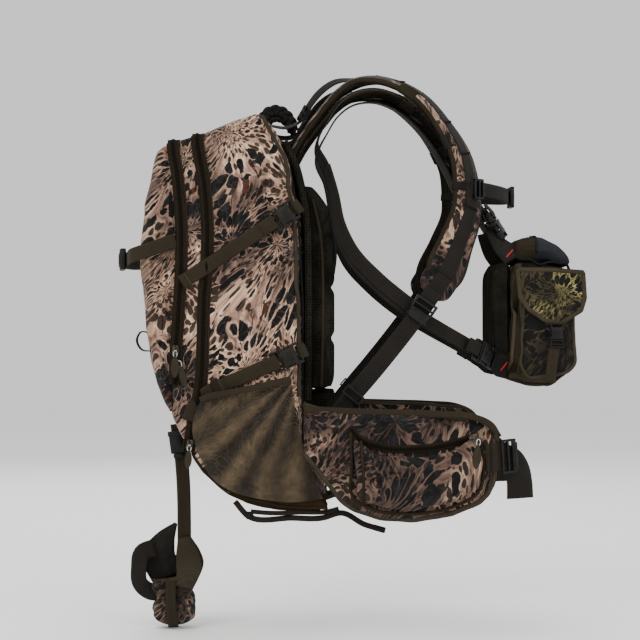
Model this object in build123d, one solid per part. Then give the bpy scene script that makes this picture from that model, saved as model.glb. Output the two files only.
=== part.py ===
"""A hunting day pack in its worn shape: a bag of three zipped compartments, an internal frame,
padded harness, hip belt with pockets, bow carrier, and a chest pouch on its own webbing.

Millimetres. The origin is the middle of the lumbar pad's contact face, +X points forward
through the wearer, +Y to the wearer's left and +Z up, so the wearer's right is at -Y.
"""

import os

from build123d import *

# ---------------------------------------------------------------- driving dimensions
MAIN_HALF = 155.0  # half widths of the three compartments, side to side
MIDDLE_HALF = 151.0
OUTER_HALF = 145.0
WALL = 3.0  # cloth, padding and lining of a compartment
SEAM_ROUND = 16.0  # rounding of the outer pocket's side seams
GAP = 0.4  # clearance between neighbours that only touch
NARROW_WEB = 15.0
LIGHT_WEB = 20.0
WEB = 25.0
BELT_WEB = 38.0
WEB_THICK = 1.8
ZIP_WIDE = 16.0
ZIP_THICK = 1.4
ZIP_RISE = 5.0  # how far a tape stands over the bag's top
ZIP_TURN = 12.0  # where it turns over the bag's shoulder
SHEET_THICK = 2.0
SHEET_WIDE = 260.0
STAY_WIDE = 24.0
STAY_THICK = 3.0
STAY_Y = 16.0
STAY_RISE = 10.0  # how far a stay's foot stands above the sheet's
PAD_THICK = 12.0  # shoulder strap
LUMBAR_HALF = 100.0
BACK_PAD_Y = (-120, -32)
WING_THICK = 14.0  # hip belt
POCKET_DEEP = 12.0  # how far a belt pocket stands off its wing
MESH_DEEP = 24.0  # how far a side pocket stands off the bag
MESH_WALL = 2.0
POUCH_HALF = 95.0  # chest pouch, and its side pockets beyond it
SIDE_DEEP = 28.0
BACK_PANEL_HALF = 90.0
BUCKLE_THICK = 9.0
BUCKLE_RIM = 5.0  # plastic on each side of a buckle's webbing
SOCKET_LONG = 28.0
PLUG_LONG = 14.0
CORNER_CUT = 3.0
SLOT_SLACK = 1.0
LADDER_RIM = 4.5
LADDER_THICK = 5.0
LADDER_LIFT = WEB_THICK / 2 + GAP + LADDER_THICK / 2
SMALL_LADDER = 22.0
BELT_LADDER = 24.0
LONG_LADDER = 30.0
THUMB_CUT = 6.0
HANDLE_Y = 38.0  # each leg of the grab handle
HANDLE_THICK = 12.0
GRIP_RADIUS = 7.5
GRIP_LONG = 100.0
FLAP_THICK = 2.5
CLOSED_SMALL = (18.0, 8.0, 30.0)  # closed buckles that never open here: width, depth and height
CLOSED_LARGE = (26.0, 8.0, 40.0)
TAIL_LONG = 46.0
LASH_WIDE = 8.0
LASH_THICK = 3.5
BELT_REACH = (-220, -120)  # y range that holds a whole belt wing
WING_REACH = 150.0  # height that holds one, up and down

# Outlines in the side view, as (x, z).
BAG_TOP = [(-104, 463), (-112, 467), (-132, 458), (-193, 436)]
BAG_BACK = [(-4, -86), (-47, -18), (-47, 200), (-54, 320), (-67, 400)]
BAG_BASE = [(-204, -8), (-186, -38), (-160, -62), (-119, -79), (-83, -85), (-36, -90)]
MAIN_SEAM = [(-193, 436), (-182, 362), (-178, 300), (-183, 200), (-186, 90), (-204, -8)]
FRONT_SEAM = [(-226, 428), (-219, 370), (-214, 300), (-216, 222), (-222, 130), (-227, 40)]
LUMBAR = [(0, 76), (-34, 76), (-40, 70), (-40, -20), (-17, -55), (0, -55)]
OUTER_FACE = [(-246, 417), (-262, 342), (-270, 272), (-262, 160), (-246, 84)]
BACK_PAD = [(-44, 78), (-44, 200), (-51, 320), (-58, 368), (-34, 366), (-10, 335), (-5, 250), (-5, 78)]
FRAME_LINE = [(-47, -6), (-47, 200), (-54, 320), (-67, 400), (-83, 430)]  # where the frame meets the bag
MESH = [(-186, 60), (-62, 92), (-56, 50), (-56, -58), (-100, -78), (-160, -50), (-180, -10)]
MESH_INSIDE = [(-183, 100), (-65, 130), (-59, 50), (-59, -55), (-100, -74), (-158, -47), (-177, -8)]
WING = [(-50, 62), (22, 54), (156, 50), (205, 44), (228, 24), (236, 0), (222, -58), (198, -83),
        (157, -98), (108, -105), (60, -102), (22, -90), (5, -78), (-50, -10)]
BELT_POCKET = [(16, 32), (22, 12), (60, -2), (110, -4), (157, 2), (199, 17), (208, -20), (200, -62),
               (160, -84), (100, -92), (44, -84), (22, -72)]
POUCH = [(252, 260), (332, 250), (340, 110), (300, 80), (240, 88), (252, 130)]
POUCH_LID = [(250, 261), (251, 284), (280, 294), (312, 282), (334, 262), (334, 251)]
POUCH_BACK = [(222, 130), (222, 246), (232, 264), (249, 262), (249, 130), (238, 90), (228, 90)]
SIDE_POCKET = [(254, 243), (334, 243), (337, 112), (326, 100), (268, 92), (256, 110)]
FLAP = [(252, 247), (346, 247), (346, 190), (313, 168), (252, 200)]

# Plan of a belt wing's inner face, as (x, y), from its fold at the pack to its tip.
WING_PLAN = [(-50, -158), (90, -164), (215, -146), (240, -134)]

# Where the zips' sliders stand, and the straight stretches of seam that they run along.
FRONT_SLIDER = (-221.7, 134)
FRONT_RUN = (-216 + 222, 222 - 130)
MAIN_SLIDER = (-201.8, 4)
MAIN_RUN = (-186 + 204, 90 + 8)
BELT_SLIDER = (188, 15)
BELT_RUN = (-0.93, -0.134, -0.30)


# ---------------------------------------------------------------- helpers
def run_of(points, normals, widths):
    """Stations of a strap: (centre, outward normal, width). One width can serve them all."""
    if not isinstance(widths, list):
        widths = [widths] * len(points)
    return [(Vector(p), Vector(n), w) for p, n, w in zip(points, normals, widths, strict=True)]


def band(run, thickness):
    """A flat strap or pad along a run of stations, with straight spans between them."""
    last = len(run) - 1
    faces = []
    for i, (centre, normal, width) in enumerate(run):
        along = (run[min(i + 1, last)][0] - run[max(i - 1, 0)][0]).normalized()
        across = along.cross(normal).normalized()
        plane = Plane(origin=centre, x_dir=across, z_dir=along)
        faces.append(plane * Rectangle(width, thickness))
    return loft(faces, ruled=True)


def left(shape):
    """The wearer's left copy of a right-hand shape."""
    return mirror(shape, about=Plane.XZ)


def group(*shapes):
    """Separate solids in one node."""
    return Compound(children=[Solid(s.wrapped) for shape in shapes for s in shape.solids()])


def both(shape):
    return group(shape, left(shape))


def side_face(points):
    return make_face(Plane.XZ * Polyline(*points, close=True))


def slab(points, low_y, high_y):
    """A side-view outline given width from low_y to high_y."""
    face = side_face(points).moved(Location((0, high_y, 0)))
    return extrude(face, amount=high_y - low_y, dir=(0, -1, 0))


def shell(points, half):
    """A closed cloth compartment, hollow inside."""
    inner = offset(side_face(points), amount=-WALL, kind=Kind.INTERSECTION)
    hollow = extrude(inner, amount=half - WALL, both=True)
    return slab(points, -half, half) - hollow


def placed(shape, origin, x_dir, z_dir):
    return Plane(origin=origin, x_dir=x_dir, z_dir=z_dir).location * shape


def joined(*shapes):
    """One solid from pieces that meet."""
    whole = shapes[0]
    for shape in shapes[1:]:
        whole = whole + shape
    return whole


# ---------------------------------------------------------------- bag
def main_bag():
    return shell([*BAG_TOP, *MAIN_SEAM[1:-1], *BAG_BASE, *BAG_BACK], MAIN_HALF)


def middle_bag():
    seam = [(x - GAP, z) for x, z in MAIN_SEAM]
    return shell([*FRONT_SEAM, *reversed(seam)], MIDDLE_HALF)


def outer_pocket():
    seam = [(x - GAP, z) for x, z in FRONT_SEAM]
    solid = shell([*seam, *reversed(OUTER_FACE)], OUTER_HALF)
    far = [e for e in solid.edges() if abs(e.center().Y) > OUTER_HALF - 1 and e.center().X < -250]
    return fillet(far, SEAM_ROUND - WALL)


def zip_tape(seam, half):
    """A zip's tape, up one side, over the top and down the other side."""
    out = half + GAP + ZIP_THICK / 2
    top_x, top_z = seam[0]
    top_z += GAP + ZIP_THICK / 2 + ZIP_RISE
    side = [((x, -out, z), (0, -1, 0)) for x, z in reversed(seam[1:])]
    over = [((top_x, -out, top_z - ZIP_TURN), (0, -1, 0)), ((top_x, -out, top_z), (0, -1, 1))]
    over.append(((top_x, -out + ZIP_TURN, top_z), (0, 0, 1)))
    right = side + over
    other = [((x, -y, z), (a, -b, c)) for (x, y, z), (a, b, c) in reversed(right)]
    points, normals = zip(*right, *other, strict=True)
    return band(run_of(points, normals, ZIP_WIDE), ZIP_THICK)


def mesh_pocket():
    """A gathered mesh pocket on the right side panel, open along its sloping top edge."""
    back = -MAIN_HALF - GAP * 2 - ZIP_THICK
    outer = slab(MESH, back - MESH_DEEP, back)
    return outer - slab(MESH_INSIDE, back - MESH_DEEP + MESH_WALL, back - MESH_WALL)


def frame_run(line, off, y):
    """Stations up the bag's back at a distance from it."""
    points = [(x + off, y, z) for x, z in line]
    normals = [(1, 0, lean) for lean in (0, 0, 0.1, 0.3, 0.5)]
    return points, normals[: len(points)]


def frame_sheet():
    """The stiffening sheet behind the bag, following its back."""
    points, normals = frame_run(FRAME_LINE, GAP + SHEET_THICK / 2, 0)
    return band(run_of(points, normals, SHEET_WIDE), SHEET_THICK)


def frame_stays():
    """Two flat bars in front of the sheet, each ending below the sheet's top."""
    (foot_x, foot_z), *above = FRAME_LINE[:-1]
    line = [(foot_x, foot_z + STAY_RISE), *above]
    points, normals = frame_run(line, GAP * 2 + SHEET_THICK + STAY_THICK / 2, -STAY_Y)
    return both(band(run_of(points, normals, STAY_WIDE), STAY_THICK))


def back_pads():
    return both(slab(BACK_PAD, *BACK_PAD_Y))


def lumbar_pad():
    """Thick pad whose back slopes in over the bag's heel; its front is the contact face."""
    return slab(LUMBAR, -LUMBAR_HALF, LUMBAR_HALF)


# ---------------------------------------------------------------- buckles
def socket(web):
    """Female half: the mouth is at x = 0 facing +x, the webbing's slot is at the far end."""
    wide = web + BUCKLE_RIM * 2
    body = Pos(-SOCKET_LONG / 2, 0, 0) * Box(SOCKET_LONG, wide, BUCKLE_THICK)
    body = chamfer(body.edges().filter_by(Axis.Z), CORNER_CUT)
    cavity = Pos(-8, 0, 0) * Box(16, wide - 6, BUCKLE_THICK - 4)
    slot = Pos(-23, 0, 0) * Box(4, web + SLOT_SLACK, BUCKLE_THICK)
    return body - cavity - slot


def plug(web):
    """Male half: the tongue lies in the socket's cavity and the bar frame stands outside it."""
    wide = web + BUCKLE_RIM * 2
    tongue = Pos(-6.5, 0, 0) * Box(15, wide - 8, BUCKLE_THICK - 5)
    window = Pos(-6, 0, 0) * Box(9, wide - 18, BUCKLE_THICK)
    frame = Pos(PLUG_LONG / 2 + 1, 0, 0) * Box(PLUG_LONG, wide, BUCKLE_THICK - 2)
    frame = chamfer(frame.edges().filter_by(Axis.Z), CORNER_CUT)
    slots = [Pos(x, 0, 0) * Box(2.6, web + SLOT_SLACK, BUCKLE_THICK) for x in (6, 11)]
    return joined(tongue, frame) - window - slots[0] - slots[1]


def ladder(web, long):
    """A ladder lock: a frame with two slots and a rounded thumb tab at its +x end."""
    frame = Pos(long / 2, 0, 0) * Box(long, web + LADDER_RIM * 2, LADDER_THICK)
    frame = chamfer(frame.edges().filter_by(Axis.Z).group_by(Axis.X)[-1], THUMB_CUT)
    slots = [Pos(x, 0, 0) * Box(4, web + SLOT_SLACK, LADDER_THICK) for x in (7, 15)]
    return frame - slots[0] - slots[1]


# ---------------------------------------------------------------- compression straps
SIDE_Y = -MAIN_HALF - GAP * 2 - ZIP_THICK - WEB_THICK / 2  # straps lie over the zip tapes
BUCKLE_LIFT = WEB_THICK / 2 + GAP + BUCKLE_THICK / 2
STRAPS = {  # sewn end and buckle mouth of each compression strap, as (x, z)
    "upper": ((-214, 227), (-79, 315)),
    "lower": ((-168, 80), (-74, 121)),
}


def strap_direction(which):
    """Unit direction down the strap, away from its buckle's socket."""
    (ax, az), (bx, bz) = STRAPS[which]
    return Vector(ax - bx, 0, az - bz).normalized()


def compression_strap(which):
    (ax, az), (bx, bz) = STRAPS[which]
    away = strap_direction(which)
    start = Vector(ax, SIDE_Y, az)
    end = Vector(bx, SIDE_Y, bz) - away * 24
    return band(run_of([start, end], [(0, -1, 0)] * 2, LIGHT_WEB), WEB_THICK)


def on_strap(shape, which):
    x, z = STRAPS[which][1]
    return placed(shape, (x, SIDE_Y - BUCKLE_LIFT, z), strap_direction(which), (0, -1, 0))


def compression_sockets():
    return group(*(on_strap(socket(LIGHT_WEB), which) for which in STRAPS))


# ---------------------------------------------------------------- zip sliders
def slider():
    """A slider's body and bridge, lying on a tape: x is along the zip and z is outward."""
    base = Pos(0, 0, 1.6) * Box(13, 9, 3.2)
    base = chamfer(base.edges().filter_by(Axis.Z), 2)
    ears = [Pos(0, y, 4.4) * Box(6, 2, 2.6) for y in (-2.9, 2.9)]
    return joined(base, *ears)


def puller(long):
    """A leaf puller hanging from its ring: x is up, and its hinge lies along y at x = 0."""
    ring = Pos(-4, 0, 0) * Box(10, 2.4, 1.8)
    leaf = Pos(-6 - long / 2, 0, 0) * extrude(Ellipse(long / 2, 6.5), amount=1.5, both=True)
    return joined(ring, leaf)


# ---------------------------------------------------------------- shoulder harness
PAD_POINTS = [(-60, -73, 408), (-46, -75, 433), (-16, -78, 473), (5, -80, 497), (26, -82, 510),
              (57, -85, 515), (92, -90, 505), (120, -95, 488), (152, -99, 450), (176, -101, 407),
              (184, -102, 366), (185, -105, 333), (170, -118, 287), (149, -134, 238), (130, -143, 210)]
PAD_NORMALS = [(-0.9, 0, 0.4), (-0.85, 0, 0.5), (-0.8, 0, 0.6), (-0.7, 0, 0.7), (-0.3, 0, 1),
               (0, -0.1, 1), (0.4, -0.2, 1), (0.6, -0.3, 0.8), (0.75, -0.4, 0.6), (0.8, -0.5, 0.3),
               (0.78, -0.62, 0.1), (0.72, -0.7, 0), (0.6, -0.8, 0), (0.5, -0.86, 0.1), (0.45, -0.88, 0.1)]
PAD_WIDTHS = [52, 56, 60, 62, 64, 66, 66, 66, 64, 62, 62, 60, 58, 54, 46]
WEB_POINTS = [(136, -155, 216), (118, -156, 190), (60, -153, 115), (14, -147, 60), (-35, -142, -4)]
WEB_NORMALS = [(0.1, -1, 0), (0.1, -1, 0), (0, -1, 0), (-0.1, -1, 0), (-0.1, -1, 0)]
LIFTER_POINTS = [(-94, -78, 452), (-70, -78, 449), (-50, -78, 458), (-36, -78, 482), (-20, -79, 501),
                 (-2, -80, 513), (26, -82, 517.5)]
LIFTER_NORMALS = [(0, 0, 1), (0, 0, 1), (-0.5, 0, 0.8), (-0.8, 0, 0.6), (-0.6, 0, 0.8), (-0.3, 0, 1),
                  (0, 0, 1)]


def shoulder_strap():
    return band(run_of(PAD_POINTS, PAD_NORMALS, PAD_WIDTHS), PAD_THICK)


def shoulder_webbing():
    return both(band(run_of(WEB_POINTS, WEB_NORMALS, WEB), WEB_THICK))


def load_lifters():
    return both(band(run_of(LIFTER_POINTS, LIFTER_NORMALS, NARROW_WEB), WEB_THICK))


def load_lifter_buckles():
    """Small ladder locks on the steep stretch of the lifters."""
    low, high = Vector(LIFTER_POINTS[2]), Vector(LIFTER_POINTS[3])
    up = (high - low).normalized()
    out = Vector(-up.Z, 0, up.X)
    return both(placed(ladder(NARROW_WEB, SMALL_LADDER), low + out * LADDER_LIFT, up, out))


LOCK_AT = Vector(127, -159.6, 202)
LOCK_DOWN = Vector(-18, -1, -26).normalized()
LOCK_OUT = Vector(0.1, -1, 0)


def shoulder_lock():
    return placed(ladder(WEB, LONG_LADDER), LOCK_AT, LOCK_DOWN, LOCK_OUT - LOCK_DOWN * LOCK_OUT.dot(LOCK_DOWN))


HANDLE_LEG = [(-98, 467), (-82, 471), (-64, 458)]
GRIP_AT = (-64, 0, 459)


def grab_handle():
    """A padded grip between two webbing legs sewn at the top of the back."""
    legs = []
    for y in (-HANDLE_Y, HANDLE_Y):
        leg = run_of([(x, y, z) for x, z in HANDLE_LEG], [(0, 0, 1)] * len(HANDLE_LEG), LIGHT_WEB)
        legs.append(band(leg, HANDLE_THICK))
    grip = placed(Cylinder(GRIP_RADIUS, GRIP_LONG), GRIP_AT, (1, 0, 0), (0, 1, 0))
    return joined(grip, *legs)


STERNUM = [(190.5, -109, 360), (212, -84.5, 360), (230, -64, 358), (246, -36, 356), (252, -8, 355)]
STERNUM_NORMALS = [(0.75, -0.66, 0), (0.75, -0.66, 0), (0.8, -0.55, 0), (0.95, -0.3, 0), (1, 0, 0)]


def sternum_strap():
    right = run_of(STERNUM, STERNUM_NORMALS, LIGHT_WEB)
    other = [(Vector(c.X, -c.Y, c.Z), Vector(n.X, -n.Y, n.Z), w) for c, n, w in reversed(right)]
    return band(right + other, WEB_THICK)


KEEPER_AT, KEEPER_ALONG = (192, -107, 360), (21.5, 24.5, 0)
STERNUM_MOUTH = (STERNUM[-1][0] + BUCKLE_LIFT, 2, STERNUM[-1][2])


def on_sternum(shape):
    return placed(shape, STERNUM_MOUTH, (0, -1, 0), (1, 0, 0))


def sternum_keepers():
    """Adjuster frames where the strap leaves the shoulder pads."""
    along = Vector(*KEEPER_ALONG).normalized()
    out = Vector(*STERNUM_NORMALS[0])
    centre = Vector(*KEEPER_AT) + out * LADDER_LIFT
    return both(placed(ladder(LIGHT_WEB, SMALL_LADDER), centre, along, out))


# ---------------------------------------------------------------- hip belt
def wing_strip(start, thick):
    """Plan strip beside the wing's inner line, from start to start + thick outward, full height."""
    near = [(x, y - start) for x, y in WING_PLAN]
    far = [(x, y - start - thick) for x, y in reversed(WING_PLAN)]
    face = make_face(Polyline(*near, *far, close=True))
    return extrude(face, amount=WING_REACH, both=True)


def belt_wing():
    return slab(WING, *BELT_REACH) & wing_strip(0, WING_THICK)


def belt_pocket():
    return slab(BELT_POCKET, *BELT_REACH) & wing_strip(WING_THICK, POCKET_DEEP)


BELT_POINTS = [(212, -163.5, -14), (230, -155, -14), (244, -148.5, -20), (252, -144.5, -33), (255, -142, -50),
               (256, -140, -72)]
BELT_NORMALS = [(0.3, -0.95, 0), (0.45, -0.9, 0), (0.45, -0.9, 0), (0.4, -0.92, 0), (0.3, -0.95, 0),
                (0.2, -1, 0)]


def belt_webbing():
    """Wide webbing sewn on the wing's tip, whose free end turns down and hangs."""
    return band(run_of(BELT_POINTS, BELT_NORMALS, BELT_WEB), WEB_THICK + 0.4)


BELT_BUCKLE = Vector(228, -163.6, -13)
BELT_ALONG = Vector(26, 12.5, 2).normalized()
BELT_FACE = Vector(0.43, -0.9, 0)


def belt_lock():
    face = BELT_FACE - BELT_ALONG * BELT_FACE.dot(BELT_ALONG)
    return placed(ladder(BELT_WEB, BELT_LADDER), BELT_BUCKLE, BELT_ALONG, face)


# ---------------------------------------------------------------- chest pouch
CHEST_POINTS = [(206, -108, 127), (188, -122, 138), (144, -138, 163), (100, -146, 190), (54, -152, 228),
                (20, -148, 266), (3, -138, 307), (-3, -131, 342), (-13, -112, 387), (-27, -97, 420),
                (-10, -90, 459), (5, -86, 482), (26, -85, 498), (57, -87, 503), (88, -91, 494),
                (112, -95, 476), (144, -98, 440), (167, -97, 402), (180, -84, 371), (206, -66, 339),
                (228, -64, 304)]
CHEST_NORMALS = [(0.6, -0.8, 0), (0.5, -0.85, 0), (0.3, -0.95, 0), (0, -1, 0), (-0.2, -1, 0),
                 (-0.5, -0.85, 0.1), (-0.7, -0.7, 0.1), (-0.8, -0.6, 0.2), (-0.9, -0.4, 0.2), (-0.95, -0.2, 0.3),
                 (-0.85, 0, 0.5), (-0.7, 0, 0.7), (-0.3, 0, 1), (0, 0, 1), (0.4, -0.1, 1),
                 (0.6, -0.2, 0.8), (0.75, -0.3, 0.6), (0.8, -0.4, 0.4), (0.7, -0.4, 0.5), (0.7, -0.35, 0.5),
                 (0.8, -0.3, 0.5)]


def chest_webbing():
    return both(band(run_of(CHEST_POINTS, CHEST_NORMALS, LIGHT_WEB), WEB_THICK))


def chest_buckle(shape, at, toward, face):
    """A buckle half on the outside of the chest webbing, with its pull along toward."""
    pull = Vector(toward).normalized()
    out = (Vector(face) - pull * Vector(face).dot(pull)).normalized()
    return placed(shape, Vector(at) + out * BUCKLE_LIFT, pull, out)


UPPER_AT, UPPER_PULL, UPPER_FACE = (222, -64.5, 313.5), (-22, -2, 35), (0.8, -0.3, 0.5)
LOWER_AT, LOWER_PULL, LOWER_FACE = (200, -112.7, 130.7), (-18, -14, 11), (0.55, -0.82, 0)


def upper_chest(shape):
    return chest_buckle(shape, UPPER_AT, UPPER_PULL, UPPER_FACE)


def lower_chest(shape):
    return chest_buckle(shape, LOWER_AT, LOWER_PULL, LOWER_FACE)


def chest_pouch():
    return shell(POUCH, POUCH_HALF)


def chest_lid():
    return slab(POUCH_LID, -POUCH_HALF, POUCH_HALF)


def chest_back():
    return slab(POUCH_BACK, -BACK_PANEL_HALF, BACK_PANEL_HALF)


def chest_side_pockets():
    """Boxy pockets on the pouch's ends, solid because they are closed by their flaps."""
    return both(slab(SIDE_POCKET, -POUCH_HALF - SIDE_DEEP, -POUCH_HALF - GAP))


def chest_flap():
    """A pointed flap over a side pocket's face."""
    out = -POUCH_HALF - SIDE_DEEP - GAP
    return slab(FLAP, out - FLAP_THICK, out)


def flap_buckle():
    """Closed side-release buckle and webbing tail that hang on the flap's point."""
    out = -POUCH_HALF - SIDE_DEEP - GAP - FLAP_THICK
    wide, thick, tall = CLOSED_SMALL
    body = Pos(308, out - thick / 2, 156) * Box(wide, thick, tall)
    body = chamfer(body.edges().filter_by(Axis.Y), wide / 4)
    tail = Pos(305, out - 2.0, 118) * Box(NARROW_WEB - 1, WEB_THICK, TAIL_LONG)
    return group(body, tail)


# ---------------------------------------------------------------- bow carrier and lash
BOW_POINTS = [(-222, -147, 286), (-262, -149, 272), (-282, -139, 266), (-293, -102, 262), (-303, -30, 260)]
BOW_NORMALS = [(0, -1, 0), (-0.3, -1, 0), (-0.8, -0.7, 0), (-1, -0.2, 0), (-1, -0.1, 0)]
RISER_LOOP = [(-262.5, 156), (-273, 160), (-280, 147), (-273, 133), (-258, 131)]
RISER_GAP = [(-254, 154), (-263, 154), (-272, 157.6), (-277.9, 147), (-272, 135.2), (-258, 133),
             (-254, 133)]
RISER_LOOP_Y = (-124, -100)


def bow_strap():
    right = run_of(BOW_POINTS, BOW_NORMALS, LIGHT_WEB)
    other = [(Vector(c.X, -c.Y, c.Z), Vector(n.X, -n.Y, n.Z), w) for c, n, w in reversed(right)]
    return band(right + other, WEB_THICK)


BOW_MOUTH = Vector(-297.4, -70, 261.2)
BOW_PULL = Vector(-10, 72, -2).normalized()
BOW_OUT = Vector(-1, -0.14, 0)


def on_bow_strap(shape):
    out = (BOW_OUT - BOW_PULL * BOW_OUT.dot(BOW_PULL)).normalized()
    return placed(shape, BOW_MOUTH + out * (BUCKLE_LIFT + 0.4), BOW_PULL, out)


def riser_loops():
    """Short webbing loops sewn low on the outer pocket, open side to side."""
    return both(slab(RISER_LOOP, *RISER_LOOP_Y) - slab(RISER_GAP, *RISER_LOOP_Y))


LASH_POINTS = [(-140, -144, -76), (-122, -144, -96), (-60, -144, -99), (-19, -144, -99), (8, -144, -92),
               (40, -144, -108), (68, -144, -116)]


def bottom_lash():
    return both(band(run_of(LASH_POINTS, [(0, 0, 1)] * len(LASH_POINTS), LASH_WIDE), LASH_THICK))


BOOT_STRAP = [(-231, 0, 24), (-226, 0, -12), (-222, 0, -60), (-220.5, 0, -120), (-220.5, 0, -159.6)]


CUP = (62.0, 56.0, 76.0)  # the boot's length, width and height
CUP_AT = (-234, 0, -232)
CUP_WALL = 3.0
CUP_ROUND = 14.0


def boot_strap():
    """Webbing from the pack's heel to the boot."""
    return band(run_of(BOOT_STRAP, [(0, -1, 0)] * len(BOOT_STRAP), LIGHT_WEB), WEB_THICK)


def boot_buckle():
    """Closed side-release buckle on the strap."""
    wide, thick, tall = CLOSED_LARGE
    body = Pos(-233, -WEB_THICK / 2 - GAP - thick / 2, -6) * Box(wide, thick, tall)
    return chamfer(body.edges().filter_by(Axis.Y), wide / 5)


def bow_boot():
    """The cloth cup that holds the bow's lower cam, open at the top."""
    long, wide, tall = CUP
    cup = Pos(*CUP_AT) * Box(long, wide, tall)
    cup = fillet(cup.edges().group_by(Axis.Z)[0], CUP_ROUND)
    hollow = Pos(*CUP_AT) * Pos(0, 0, CUP_WALL * 2) * Box(long - CUP_WALL * 2, wide - CUP_WALL * 2, tall)
    back = Pos(-224.5, 0, -180) * Box(4, wide - CUP_WALL * 2, 40)
    return joined(cup - hollow, back)


# ---------------------------------------------------------------- nodes
def at_zip(shape, x, z, half, run):
    """A shape on a side panel's zip, with its x up the zip and its z outward."""
    out = -half - GAP * 2 - ZIP_THICK
    return placed(shape, (x, out, z), (run[0], 0, run[1]), (0, -1, 0))


def hanging(shape, x, y, z, out):
    return placed(shape, (x, y, z), (0, 0, 1), out)


def belt_zip(shape, rise=0.0):
    """A shape on the belt pocket's outer face, with its x along the zip."""
    back = Vector(BELT_RUN).normalized()
    slope = (WING_PLAN[2][1] - WING_PLAN[1][1]) / (WING_PLAN[2][0] - WING_PLAN[1][0])
    x, z = BELT_SLIDER
    y = WING_PLAN[1][1] + slope * (x - WING_PLAN[1][0]) - WING_THICK - POCKET_DEEP - GAP
    out = Vector(slope, -1, 0).normalized()
    return placed(shape, Vector(x, y, z) + out * rise, back, out - back * out.dot(back))


def nodes():
    """Every node's shape by name."""
    made = {
        "main_bag": main_bag(),
        "middle_bag": middle_bag(),
        "outer_pocket": outer_pocket(),
        "zip_tapes": group(zip_tape(MAIN_SEAM, MAIN_HALF), zip_tape(FRONT_SEAM, MIDDLE_HALF)),
        "frame_sheet": frame_sheet(),
        "frame_stays": frame_stays(),
        "back_pads": back_pads(),
        "lumbar_pad": lumbar_pad(),
        "shoulder_webbing": shoulder_webbing(),
        "load_lifters": load_lifters(),
        "load_lifter_buckles": load_lifter_buckles(),
        "compression_straps": both(group(compression_strap("upper"), compression_strap("lower"))),
        "bag_sockets": group(both(compression_sockets()), on_bow_strap(socket(LIGHT_WEB))),
        "bow_straps": group(bow_strap(), riser_loops()),
        "bottom_lash": bottom_lash(),
        "chest_webbing": chest_webbing(),
        "chest_pouch": chest_pouch(),
        "chest_pouch_lid": chest_lid(),
        "chest_back_panel": chest_back(),
        "chest_side_pockets": chest_side_pockets(),
        "chest_sockets": both(group(upper_chest(socket(LIGHT_WEB)), lower_chest(socket(LIGHT_WEB)))),
        "grab_handle": grab_handle(),
        "sternum_strap": sternum_strap(),
        "sternum_fittings": group(sternum_keepers(), on_sternum(socket(LIGHT_WEB))),
        "sternum_plug": on_sternum(plug(LIGHT_WEB)),
        "bow_strap_plug": on_bow_strap(plug(LIGHT_WEB)),
        "bow_boot": group(boot_strap(), bow_boot()),
        "boot_buckle": boot_buckle(),
        "main_zip_slider": at_zip(slider(), *MAIN_SLIDER, MAIN_HALF, MAIN_RUN),
        "main_zip_puller": hanging(puller(26), MAIN_SLIDER[0], SIDE_Y - 4.0, MAIN_SLIDER[1], (0, -1, 0)),
        "front_zip_slider": at_zip(slider(), *FRONT_SLIDER, MIDDLE_HALF, FRONT_RUN),
        "front_zip_puller": hanging(puller(32), FRONT_SLIDER[0], SIDE_Y, FRONT_SLIDER[1], (0, -1, 0)),
    }
    paired = {
        "side_pocket": mesh_pocket(),
        "shoulder_strap": shoulder_strap(),
        "shoulder_lock": shoulder_lock(),
        "belt_wing": belt_wing(),
        "belt_pocket": belt_pocket(),
        "belt_webbing": belt_webbing(),
        "belt_lock": belt_lock(),
        "belt_zip_slider": belt_zip(slider()),
        "chest_flap": chest_flap(),
        "flap_buckle": flap_buckle(),
        "upper_compression_plug": on_strap(plug(LIGHT_WEB), "upper"),
        "lower_compression_plug": on_strap(plug(LIGHT_WEB), "lower"),
        "upper_chest_plug": upper_chest(plug(LIGHT_WEB)),
        "lower_chest_plug": lower_chest(plug(LIGHT_WEB)),
    }
    for name, shape in paired.items():
        made[f"{name}_right"] = shape
        made[f"{name}_left"] = left(shape)
    return made


os.makedirs("parts", exist_ok=True)
for name, shape in nodes().items():
    export_step(shape, f"parts/{name}.step")
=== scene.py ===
"""Looks for the hunting day pack: camouflage cloth, webbing, mesh, buckles and zips."""

import math

import bmesh
import bpy
import numpy as np
from mathutils import Matrix, Vector, noise
from mathutils.bvhtree import BVHTree


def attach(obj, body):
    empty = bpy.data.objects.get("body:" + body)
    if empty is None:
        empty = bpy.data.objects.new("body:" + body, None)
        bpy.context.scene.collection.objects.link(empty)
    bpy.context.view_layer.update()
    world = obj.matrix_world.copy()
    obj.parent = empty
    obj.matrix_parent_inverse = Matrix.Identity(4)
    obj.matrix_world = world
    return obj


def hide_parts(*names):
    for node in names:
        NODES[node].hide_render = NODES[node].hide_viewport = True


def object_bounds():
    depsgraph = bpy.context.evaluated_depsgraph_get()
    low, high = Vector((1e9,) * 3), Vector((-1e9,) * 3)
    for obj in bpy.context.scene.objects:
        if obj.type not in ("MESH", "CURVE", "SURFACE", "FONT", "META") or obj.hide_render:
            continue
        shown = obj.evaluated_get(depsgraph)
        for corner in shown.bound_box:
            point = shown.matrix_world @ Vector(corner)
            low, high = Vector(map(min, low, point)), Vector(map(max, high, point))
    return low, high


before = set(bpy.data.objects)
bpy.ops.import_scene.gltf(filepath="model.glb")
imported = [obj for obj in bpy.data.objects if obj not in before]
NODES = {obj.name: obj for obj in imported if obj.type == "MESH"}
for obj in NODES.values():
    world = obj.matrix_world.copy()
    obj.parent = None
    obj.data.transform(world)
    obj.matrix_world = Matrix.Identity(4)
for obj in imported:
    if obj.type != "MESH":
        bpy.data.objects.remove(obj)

CAD_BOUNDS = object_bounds()
MM = 0.001

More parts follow.
